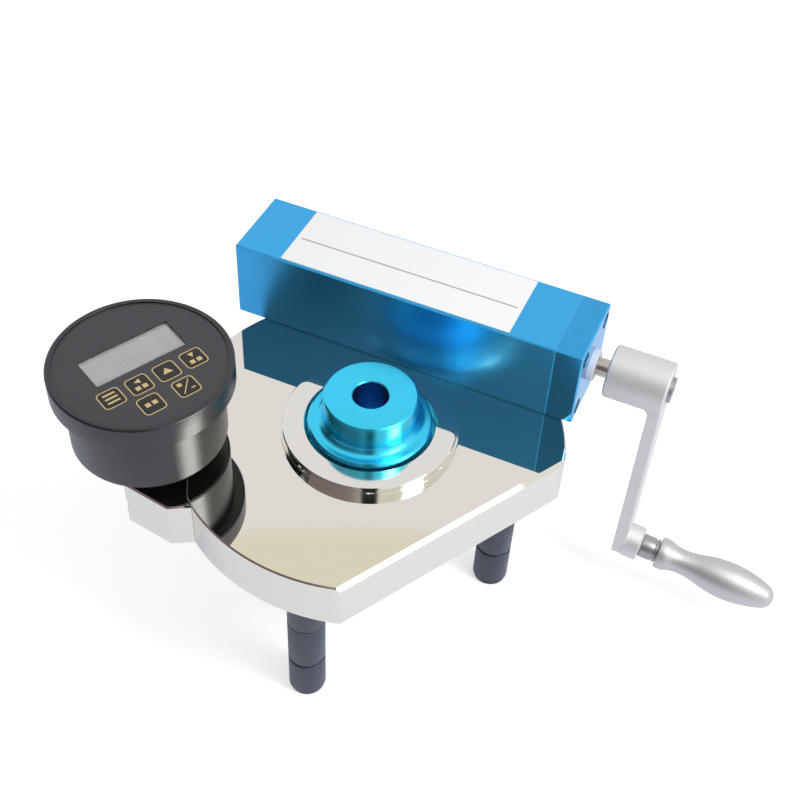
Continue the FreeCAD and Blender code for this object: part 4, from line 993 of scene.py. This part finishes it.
def makeLegs():
    p = legForm
    places = [polar(p["circle"], angle) for angle in p["angles"]]
    bars = (
        ("leg_posts_turned", "leg_post", legBar(p["postTop"], p["postBottom"], p["boreDepth"], 0.05)),
        ("leg_extensions_turned", "leg_extension",
         legBar(p["postBottom"], p["extensionBottom"], p["footBore"], p["edge"])),
    )
    for name, node, profile in bars:
        single = turned(
            name + "_single", softened(profile, p["softness"], 2), finish("slateAnodised"), segments=96)
        piece = repeated(name, single, places, [upwards] * 3, finish("slateAnodised"))
        ridden(piece, "frame", "leg_slate", *[f"{node}_{n}" for n in (1, 2, 3)])
    barrelTop = p["footTop"] - p["waistLength"]
    footProfile = [
        (0, p["footTop"] + p["footStud"]), (p["stud"], p["footTop"] + p["footStud"]),
        (p["stud"], p["footTop"]),
        (p["waist"], p["footTop"]), (p["waist"], barrelTop), (p["radius"] - p["edge"], barrelTop),
        (p["radius"], barrelTop - p["edge"]), (p["radius"], p["footBottom"] + p["edge"]),
        (p["radius"] - p["edge"], p["footBottom"]), (p["padPlug"] + 0.03, p["footBottom"]),
        (p["padPlug"] + 0.03, p["footBottom"] + p["footRecess"]), (0, p["footBottom"] + p["footRecess"]),
    ]
    padProfile = [
        (0, p["footBottom"] + p["footRecess"]), (p["padPlug"], p["footBottom"] + p["footRecess"]),
        (p["padPlug"], p["footBottom"]), (p["padRadius"], p["footBottom"]),
        (p["padRadius"], p["floor"] + p["edge"]), (p["padRadius"] - p["edge"], p["floor"]), (0, p["floor"]),
    ]
    for n, place in enumerate(places, 1):
        profile = softened(footProfile, p["softness"], 2)
        foot = turned(f"foot_{n}_turned", profile, finish("slateAnodised"), place=place, segments=96)
        ridden(foot, f"foot_{n}", "leg_slate", f"foot_{n}")
        pad = turned(f"foot_pad_{n}_moulded", padProfile, finish("rubberBlack"), place=place, segments=96)
        ridden(pad, f"foot_{n}", "pad_rubber", f"foot_pad_{n}")


makeLegs()
print("legs ready")


# Pump block, its cap, screws and plugs, and the label that is left bare but for its ruled line

pumpForm = {
    "axisY": 73.8, "axisZ": 24.0, "capSeat": 89.0, "capSpreadY": 16.5, "capSpreadZ": 17.0,
    "capScrew": (2.5, 23.4, 4.25, 5.0, 4.0), "plugRadius": 4.0, "plugLength": 8.0, "plugSocket": 4.0,
    "plugDepth": 3.0, "channelEnd": 102.1, "channelAngle": 111.047, "channelLevel": -18.0,
    "fillPlace": (-55.4, 96.7, 24.0),
}

labelForm = {
    "left": -78.2, "right": 53.8, "front": 51.8, "rear": 95.8, "bottom": 48.0, "thickness": 0.3,
    "corner": 0.5, "edge": 0.08, "ruleFrom": -75.5, "ruleTo": 51.4, "ruleAt": 71.4, "ruleWidth": 1.0,
    "ruleProud": 0.02,
}


def makePump():
    p = pumpForm
    for name, node, finishName in (
        ("pump_block_anodised", "pump_block", "blueAnodised"),
        ("end_cap_anodised", "end_cap", "capAnodised"),
    ):
        ridden(copied(name, node, finish(finishName)), "frame", "block_blue", node)
    seats = []
    for sy in (-1, 1):
        for sz in (-1, 1):
            seats.append(
                (p["capSeat"], p["axisY"] + sy * p["capSpreadY"], p["axisZ"] + sz * p["capSpreadZ"]))
    screwSet(
        "cap_screws_turned", "cap_screws", socketProfile(*p["capScrew"]), seats, [(1, 0, 0)] * 4,
        "blackOxide", "dark_steel")
    corner = p["plugSocket"] / math.sqrt(3)
    plug = [
        (0, -p["plugDepth"]), (corner, -p["plugDepth"], 1), (corner, -0.1, 1), (corner + 0.1, 0),
        (p["plugRadius"] - 0.4, 0), (p["plugRadius"], -0.4), (p["plugRadius"], -p["plugLength"]),
        (0, -p["plugLength"]),
    ]
    ends = [polar(p["channelEnd"], p["channelAngle"], p["channelLevel"]), p["fillPlace"]]
    screwSet(
        "oil_plugs_turned", "oil_plugs", plug, ends, [polar(1.0, p["channelAngle"]), (0, 1, 0)],
        "blackOxide", "dark_steel")


def makeLabel():
    p = labelForm
    middle = ((p["left"] + p["right"]) / 2, (p["front"] + p["rear"]) / 2)
    outline = roundedBox(p["right"] - p["left"], p["rear"] - p["front"], p["corner"])
    levels = [(0, 0), (0, p["thickness"] - p["edge"]), (p["edge"], p["thickness"])]
    film = layered("label_film", outline, levels, finish("labelFilm"))
    rule = layered(
        "label_rule", roundedBox(p["ruleTo"] - p["ruleFrom"], p["ruleWidth"], 0.1, 2),
        [(0, p["thickness"] - 0.05), (0, p["thickness"] + p["ruleProud"])], finish("ruleInk"))
    film.data.transform(Matrix.Translation((middle[0] * mm, middle[1] * mm, p["bottom"] * mm)))
    ruleMiddle = (p["ruleFrom"] + p["ruleTo"]) / 2
    rule.data.transform(Matrix.Translation((ruleMiddle * mm, p["ruleAt"] * mm, p["bottom"] * mm)))
    ridden(joined("name_label_ruled", [film, rule]), "frame", "label_white", "name_label")


makePump()
makeLabel()
print("pump ready")


# Hollow piston

pistonForm = {
    "stemRadius": 14.0, "stemBottom": -29.5, "headBottom": -15.5, "headRadius": 36.0, "headTop": -4.5,
    "sealLow": -12.5, "sealHigh": -9.5, "sealFloor": 33.4,
    "neckRadius": 32.6, "neckTop": 8.5, "neckEdge": 1.0,
    "shoulderRadius": 29.6, "puckRadius": 24.6, "puckTop": 26.0, "puckEdge": 0.9,
    "boreRadius": 9.3, "boreEdge": 0.6, "softness": 0.22,
}


def makePiston():
    p = pistonForm
    sweep = p["shoulderRadius"] - p["puckRadius"]
    outline = [
        (p["boreRadius"], p["stemBottom"] + p["boreEdge"]),
        (p["boreRadius"] + p["boreEdge"], p["stemBottom"]),
        (p["stemRadius"] - p["boreEdge"], p["stemBottom"]),
        (p["stemRadius"], p["stemBottom"] + p["boreEdge"]),
        (p["stemRadius"], p["headBottom"]), (p["headRadius"] - p["neckEdge"], p["headBottom"]),
        (p["headRadius"], p["headBottom"] + p["neckEdge"]), (p["headRadius"], p["sealLow"]),
        (p["sealFloor"], p["sealLow"]), (p["sealFloor"], p["sealHigh"]), (p["headRadius"], p["sealHigh"]),
        (p["headRadius"], p["headTop"]), (p["neckRadius"], p["headTop"]),
        (p["neckRadius"], p["neckTop"] - p["neckEdge"]), (p["neckRadius"] - p["neckEdge"], p["neckTop"]),
    ]
    outline += arc((p["shoulderRadius"], p["neckTop"] + sweep), sweep, 270, 180, 14)
    outline += [
        (p["puckRadius"], p["puckTop"] - p["puckEdge"]), (p["puckRadius"] - p["puckEdge"], p["puckTop"]),
        (p["boreRadius"] + p["boreEdge"], p["puckTop"]), (p["boreRadius"], p["puckTop"] - p["boreEdge"]),
        (p["boreRadius"], p["stemBottom"] + p["boreEdge"]),
    ]
    profile = softened(outline, p["softness"])
    piece = turned("piston_turned", profile, finish("cyanAnodised", tangent=True), segments=224)
    ridden(piece, "piston", "piston_blue", "piston")


makePiston()
print("piston ready")


# Crank: a casting, its nut with a groove, and the turned grip, whose flank is four tangent arcs

crankForm = {
    "pivot": (137.7, 68.695, -97.793), "axis": (0.996493, -0.003504, -0.083604),
    "bossLength": 8.0, "nutRadius": 7.0, "nutLength": 10.3, "nutBore": 4.05, "nutEdge": 0.6,
    "grooveWidth": 0.9, "grooveDepth": 0.8, "gripStart": 18.7, "gripBore": 4.1,
    "gripLength": 69.8, "collarRadius": 9.4, "collarLength": 5.0, "collarEdge": 0.9,
    "waistRadius": 7.3, "waistAt": 14.0, "bellyRadius": 11.1, "bellyAt": 42.5, "tipRadius": 7.5,
    "boreDepth": 55.0,
}


def climbRadius(along, rise, arcs=1):
    # The radius of an arc, or the mean radius of two, level at one end, that climbs this much
    return (along**2 / arcs + rise**2 / arcs) / (2 * rise)


def gripProfile():
    p = crankForm
    flare = climbRadius(p["waistAt"] - p["collarLength"], p["collarRadius"] - p["waistRadius"])
    tail = p["gripLength"] - p["bellyAt"] - p["tipRadius"]
    step = p["bellyRadius"] - p["tipRadius"]
    belly = (tail**2 + p["bellyRadius"] ** 2 - p["tipRadius"] ** 2) / (2 * step)
    waist = 2 * climbRadius(p["bellyAt"] - p["waistAt"], p["bellyRadius"] - p["waistRadius"], 2) - belly
    flareCentre = Vector((p["waistRadius"] + flare, p["waistAt"]))
    waistCentre = Vector((p["waistRadius"] + waist, p["waistAt"]))
    bellyCentre = Vector((p["bellyRadius"] - belly, p["bellyAt"]))
    tipCentre = Vector((0, p["gripLength"] - p["tipRadius"]))
    turn = waistCentre + (bellyCentre - waistCentre) * (waist / (waist + belly))
    tangent = tipCentre + (tipCentre - bellyCentre).normalized() * p["tipRadius"]

    def between(centre, radius, start, end, steps):
        first = math.degrees(math.atan2(start[1] - centre[1], start[0] - centre[0]))
        last = math.degrees(math.atan2(end[1] - centre[1], end[0] - centre[0]))
        if abs(last - first) > 180:
            last -= math.copysign(360, last - first)
        return arc(centre, radius, first, last, steps)

    collarEnd = (p["collarRadius"], p["collarLength"])
    flank = between(flareCentre, flare, collarEnd, (p["waistRadius"], p["waistAt"]), 12)
    flank += between(waistCentre, waist, (p["waistRadius"], p["waistAt"]), turn, 14)[1:]
    flank += between(bellyCentre, belly, turn, tangent, 26)[1:]
    flank += between(tipCentre, p["tipRadius"], tangent, (0, p["gripLength"]), 16)[1:-1]
    edge = p["collarEdge"]
    start = [
        (0, p["boreDepth"]), (p["gripBore"], p["boreDepth"]), (p["gripBore"], 0.3), (p["gripBore"] + 0.3, 0),
        (p["collarRadius"] - edge, 0), (p["collarRadius"] - 0.27 * edge, 0.27 * edge),
        (p["collarRadius"], edge),
    ]
    return start + flank + [(0, p["gripLength"])]


def makeCrank():
    p = crankForm
    axis = Vector(p["axis"]).normalized()
    arm = copied("crank_arm_cast", "crank_arm", finish("silverCast"))
    ridden(arm, "crank", "crank_alloy", "crank_arm")
    low = p["bossLength"]
    high = low + p["nutLength"]
    grooveHigh = high - 1.6
    grooveLow = grooveHigh - p["grooveWidth"]
    edge = p["nutEdge"]
    nut = [
        (p["nutBore"], low), (p["nutRadius"] - edge, low), (p["nutRadius"], low + edge),
        (p["nutRadius"], grooveLow), (p["nutRadius"] - p["grooveDepth"], grooveLow),
        (p["nutRadius"] - p["grooveDepth"], grooveHigh), (p["nutRadius"], grooveHigh),
        (p["nutRadius"], high - edge), (p["nutRadius"] - edge, high),
        (p["nutBore"], high), (p["nutBore"], low),
    ]
    piece = turned(
        "spindle_nut_turned", softened(nut, 0.12, 2), finish("nutSteel"), axis, p["pivot"], segments=96)
    ridden(piece, "crank", "bright_steel", "spindle_nut")
    start = Vector(p["pivot"]) + axis * p["gripStart"]
    grip = turned("grip_turned", gripProfile(), finish("silverTurned"), axis, start, segments=128)
    ridden(grip, "grip", "crank_alloy", "grip")


makeCrank()
print("crank ready")


# Gauge: turned case and rim, hexagon stem, screws of the rim

gaugeForm = {
    "centre": (-97.861, -56.5), "turn": 62.8, "stemHex": 27.0, "stemTop": 9.2, "stemRadius": 8.0,
    "stemBottom": -13.0, "stemEnd": 17.2, "caseRadius": 39.8, "caseWall": 2.5, "caseFloor": 3.0,
    "caseBottom": 9.2, "caseTop": 49.8, "caseEdge": 1.2, "postRadius": 3.0, "postCircle": 32.0,
    "postTurns": (90.0, 210.0, 330.0), "postTop": 50.8,
    "rimLow": 44.0, "rimHigh": 57.6, "rimRadius": 45.8, "rimEdge": 0.8, "rimOpening": 42.8,
    "rimPocket": 44.0, "faceTop": 56.8, "rimSkirt": 39.85, "screwTurns": (100.0, 220.0), "screwLevel": 46.9,
    "screwRadius": 1.5, "screwEnd": 45.2, "screwStart": 39.85, "screwSocket": 1.5,
}


def gaugeSpot(u, v, z=0.0):
    # A point of the gauge's face, in the face's own turned directions
    g = gaugeForm
    x, y, _ = polar(1.0, g["turn"])
    return g["centre"][0] + u * x - v * y, g["centre"][1] + u * y + v * x, z


def onFace(piece, u=0.0, v=0.0):
    turn = Matrix.Rotation(math.radians(gaugeForm["turn"]), 4, "Z")
    place = gaugeSpot(u, v)
    piece.data.transform(Matrix.Translation([c * mm for c in place]) @ turn)
    return piece


def makeGaugeBody():
    g = gaugeForm
    place = (*g["centre"], 0.0)
    metres = tuple(v * mm for v in place)
    black = finish("blackAnodised", upwards, metres, True)
    corner = g["stemHex"] / math.sqrt(3)
    stem = [
        (2.0, g["stemBottom"]), (g["stemRadius"] - 0.4, g["stemBottom"]),
        (g["stemRadius"], g["stemBottom"] + 0.4),
        (g["stemRadius"], 0.0), (g["stemHex"] / 2 - 0.2, 0.0),
        (corner, 1.1, 1), (corner, g["stemTop"] - 1.1, 1),
        (g["stemHex"] / 2 - 0.2, g["stemTop"]), (g["stemRadius"], g["stemTop"]),
        (g["stemRadius"], g["stemEnd"]),
        (2.0, g["stemEnd"]), (2.0, g["stemBottom"]),
    ]
    piece = turned("gauge_stem_turned", stem, black, place=place, segments=96)
    ridden(piece, "frame", "gauge_black", "gauge_stem")
    inner = g["caseRadius"] - g["caseWall"]
    inside = g["caseBottom"] + g["caseFloor"]
    edge = g["caseEdge"]
    case = [(g["stemRadius"] + 0.05, g["caseBottom"])]
    case += arc((g["caseRadius"] - edge, g["caseBottom"] + edge), edge, 270, 360, 6)
    case += [
        (g["caseRadius"], g["caseTop"]), (inner, g["caseTop"]), (inner, inside),
        (g["stemRadius"] + 0.05, inside), (g["stemRadius"] + 0.05, g["caseBottom"]),
    ]
    shell = turned("case_shell", case, black, place=place, segments=240)
    post = turned(
        "case_post",
        [(0, inside), (g["postRadius"], inside), (g["postRadius"], g["postTop"]), (0, g["postTop"])],
        black, segments=32)
    spots = [gaugeSpot(*polar(g["postCircle"], turn)[:2]) for turn in g["postTurns"]]
    posts = repeated("case_posts", post, spots, [upwards] * 3, black)
    ridden(joined("gauge_case_turned", [shell, posts]), "frame", "gauge_black", "gauge_case")
    rimEdge = g["rimEdge"]
    rim = [
        (g["rimSkirt"], g["rimLow"]), (g["rimRadius"] - rimEdge, g["rimLow"]),
        (g["rimRadius"], g["rimLow"] + rimEdge), (g["rimRadius"], g["rimHigh"] - rimEdge),
        (g["rimRadius"] - rimEdge, g["rimHigh"]), (g["rimOpening"], g["rimHigh"]),
        (g["rimOpening"], g["faceTop"]), (g["rimPocket"], g["faceTop"]), (g["rimPocket"], g["caseTop"]),
        (g["rimSkirt"], g["caseTop"]), (g["rimSkirt"], g["rimLow"]),
    ]
    piece = turned("gauge_bezel_turned", softened(rim, 0.2, 3), black, place=place, segments=240)
    starts = []
    outward = []
    for turn in g["screwTurns"]:
        x, y, _ = polar(g["rimPocket"] - 4.0, turn)
        starts.append((g["centre"][0] + x, g["centre"][1] + y, g["screwLevel"]))
        outward.append(polar(1.0, turn))
    drilled(piece, g["screwRadius"] + 0.05, 9.0, starts, outward)
    ridden(piece, "frame", "gauge_black", "gauge_bezel")
    corner = g["screwSocket"] / math.sqrt(3)
    long = g["screwEnd"] - g["screwStart"]
    grub = [
        (0, -1.5), (corner, -1.5, 1), (corner, 0, 1), (g["screwRadius"] - 0.2, 0), (g["screwRadius"], -0.2),
        (g["screwRadius"], -long), (0, -long),
    ]
    ends = []
    for turn in g["screwTurns"]:
        x, y, _ = polar(g["screwEnd"], turn)
        ends.append((g["centre"][0] + x, g["centre"][1] + y, g["screwLevel"]))
    screwSet("bezel_screws_turned", "bezel_screws", grub, ends, outward, "blackOxide", "dark_steel")


makeGaugeBody()
print("gauge body ready")


# Face of the gauge: overlay, display with its dotted edge and faint unlit segments, and six keys

displayForm = {
    "place": (0.2, 7.7), "length": 54.2, "width": 24.0, "bottom": 52.4, "top": 54.8,
    "dotPitch": 1.3, "dotCount": 37, "dotSize": (0.65, 0.6), "dotRow": 8.9, "proud": 0.02,
    "digitCount": 6, "digitPitch": 5.2, "digitFrom": -9.0, "digitRow": -2.4, "digitSize": (3.2, 6.0),
    "barWidth": 0.6, "lensLength": 50.1, "lensWidth": 19.9,
    "lensBottom": 55.1, "lensTop": 56.5, "lensEdge": 0.1,
}


def makeLens():
    # A clear pane whose edges are blackened, as bonded windows are
    d = displayForm
    levels = [
        (0, d["lensBottom"]), (0, d["lensTop"] - d["lensEdge"]), (d["lensEdge"], d["lensTop"]),
    ]
    outline = roundedBox(d["lensLength"], d["lensWidth"], 0.15, 2)
    lens = layered("display_lens_pane", outline, levels, makeGlass())
    lens.data.materials.append(finish("keyOverlay"))
    for face in lens.data.polygons:
        if abs(face.normal.z) < 0.9:
            face.material_index = 1
    ridden(onFace(lens, *d["place"]), "frame", "lens_clear", "display_lens")


def makeDisplay():
    d = displayForm
    glassBlock = layered(
        "lcd_block", roundedBox(d["length"], d["width"], 0.4, 2),
        [(0, d["bottom"]), (0, d["top"] - 0.1), (0.1, d["top"])], finish("crystalGrey"))
    low = d["top"] - 0.05
    high = d["top"] + d["proud"]
    ghost = finish("crystalGhost")
    dark = finish("crystalDot")
    dot = layered("dot", roundedBox(*d["dotSize"], 0.1, 1), [(0, low), (0, high)], dark)
    half = (d["dotCount"] - 1) / 2
    dotPlaces = [((n - half) * d["dotPitch"], d["dotRow"], 0) for n in range(d["dotCount"])]
    dots = repeated("lcd_dots", dot, dotPlaces, [upwards] * d["dotCount"], dark)
    wide, tall = d["digitSize"]
    level = layered("level_bar", roundedBox(wide - 0.9, d["barWidth"], 0.2, 1), [(0, low), (0, high)], ghost)
    upright = layered(
        "upright_bar", roundedBox(d["barWidth"], tall / 2 - 0.6, 0.2, 1), [(0, low), (0, high)], ghost)
    levelPlaces = []
    uprightPlaces = []
    for n in range(d["digitCount"]):
        x = d["digitFrom"] + n * d["digitPitch"]
        for row in (-1, 0, 1):
            levelPlaces.append((x, d["digitRow"] + row * tall / 2, 0))
        for side in (-1, 1):
            for row in (-1, 1):
                uprightPlaces.append((x + side * wide / 2, d["digitRow"] + row * tall / 4, 0))
    levels = repeated("lcd_level_bars", level, levelPlaces, [upwards] * len(levelPlaces), ghost)
    uprights = repeated("lcd_upright_bars", upright, uprightPlaces, [upwards] * len(uprightPlaces), ghost)
    piece = joined("lcd_module_printed", [glassBlock, dots, levels, uprights])
    ridden(onFace(piece, *d["place"]), "frame", "lcd_grey", "lcd_module")


keyForm = {
    "size": 10.4, "corner": 1.8, "lip": 0.7, "lipThickness": 0.58, "under": 54.75, "top": 57.1, "edge": 0.12,
    "frameSize": 11.9, "frameCorner": 2.4, "frameWidth": 0.6, "frameBase": 56.8, "signScale": 1.22,
    "printProud": 0.012, "printDepth": 0.06,
    "places": ((-23.2, -12.6), (-8.0, -12.6), (7.2, -12.6), (22.4, -12.6), (-10.0, -26.9), (9.2, -26.9)),
}

# Plain signs for the keys: each is a list of small outlines, in millimetres from the key's middle

squares = [
    [(-2.6, -2.9), (-0.5, -2.9), (-0.5, -0.8), (-2.6, -0.8)],
    [(0.5, -2.9), (2.6, -2.9), (2.6, -0.8), (0.5, -0.8)],
]

keySigns = (
    [[(-2.7, y), (2.7, y), (2.7, y + 0.9), (-2.7, y + 0.9)] for y in (-2.7, -0.45, 1.8)],
    squares + [[(-1.5, 1.7), (1.1, 0.4), (1.1, 3.0)]],
    [[(-2.2, -1.4), (2.2, -1.4), (0, 1.9)]],
    squares + [[(-1.3, 3.0), (0, 0.5), (1.3, 3.0)]],
    [[(x, y + 1.85) for x, y in square] for square in squares],
    [[(-2.9, -3.2), (-2.5, -3.4), (2.9, 3.2), (2.5, 3.4)],
     [(-3.0, 1.0), (-1.1, 1.0), (-1.1, 2.9), (-3.0, 2.9)],
     [(1.2, -2.3), (3.0, -2.3), (3.0, -1.7), (1.2, -1.7)]],
)


def keyFrame(name, material):
    # The gold line printed on the face round a key
    k = keyForm
    low = k["frameBase"] - k["printDepth"]
    high = k["frameBase"] + k["printProud"]
    outer = roundedBox(k["frameSize"], k["frameSize"], k["frameCorner"])(0)
    inner = roundedBox(k["frameSize"], k["frameSize"], k["frameCorner"])(k["frameWidth"])
    work = bmesh.new()
    rows = []
    for points, height in ((outer, low), (outer, high), (inner, high), (inner, low)):
        rows.append([work.verts.new((x * mm, y * mm, height * mm)) for x, y in points])
    size = len(outer)
    for first, second in zip(rows, rows[1:] + rows[:1]):
        for n in range(size):
            after = (n + 1) % size
            work.faces.new((first[n], first[after], second[after], second[n]))
    bmesh.ops.recalc_face_normals(work, faces=work.faces)
    mesh = bpy.data.meshes.new(name)
    work.to_mesh(mesh)
    work.free()
    mesh.materials.append(material)
    return linked(name, mesh)


def makeKeys():
    k = keyForm
    lowPrint = k["top"] - k["printDepth"]
    highPrint = k["top"] + k["printProud"]
    for n, (place, signs) in enumerate(zip(k["places"], keySigns), 1):
        outline = roundedBox(k["size"], k["size"], k["corner"])
        levels = [
            (-k["lip"], k["under"] - k["lipThickness"]), (-k["lip"], k["under"]), (0, k["under"]),
            (0, k["top"] - k["edge"]), (0.3 * k["edge"], k["top"] - 0.3 * k["edge"]), (k["edge"], k["top"]),
        ]
        parts = [layered(f"key_{n}_cap", outline, levels, finish("keyOverlay"))]
        for m, corners in enumerate(signs, 1):
            corners = [(x * k["signScale"], y * k["signScale"]) for x, y in corners]
            sign = layered(
                f"key_{n}_sign_{m}", straight(corners), [(0, lowPrint), (0, highPrint)], finish("goldPrint"))
            mendNormals(sign.data)
            parts.append(sign)
        ridden(onFace(joined(f"key_{n}_printed", parts), *place), f"key_{n}", "key_black", f"key_{n}")


def makeFace():
    gold = finish("goldPrint")
    single = keyFrame("key_frame", gold)
    frames = repeated("key_frames", single, [(x, y, 0) for x, y in keyForm["places"]], [upwards] * 6, gold)
    overlay = copied("face_plate_bare", "face_plate", finish("faceOverlay"))
    ridden(joined("face_plate_overlay", [overlay, onFace(frames)]), "frame", "face_black", "face_plate")


makeFace()
makeDisplay()
makeLens()
makeKeys()
print("gauge face ready")


# Every other node keeps its solid and gets a worked finish

plainFinishes = {
    "port_seals": "rubberBlack", "stem_seal": "rubberBlack", "plunger_seal": "rubberBlack",
    "plunger_gland": "bronzeShaft", "plunger": "groundSteel", "drive_nut": "bronzeShaft",
    "lead_screw": "bronzeShaft", "thrust_race_turning": "groundSteel", "thrust_race_fixed": "groundSteel",
    "thrust_rollers": "groundSteel", "shaft_bush": "acetalWhite", "crank_screw": "nutSteel",
    "grip_spindle": "groundSteel", "piston_seal": "rubberBlack", "pressure_sensor": "groundSteel",
    "case_gasket": "rubberBlack", "circuit_board": "boardGreen", "key_switches": "keyOverlay",
    "battery_cells": "cellWrap",
}


def finishOthers():
    for node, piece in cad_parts.items():
        if piece.hide_render:
            continue
        material = finish(plainFinishes[node])
        for slot in piece.material_slots:
            slot.material = material
        if not piece.material_slots:
            piece.data.materials.append(material)


finishOthers()
print("other nodes finished")
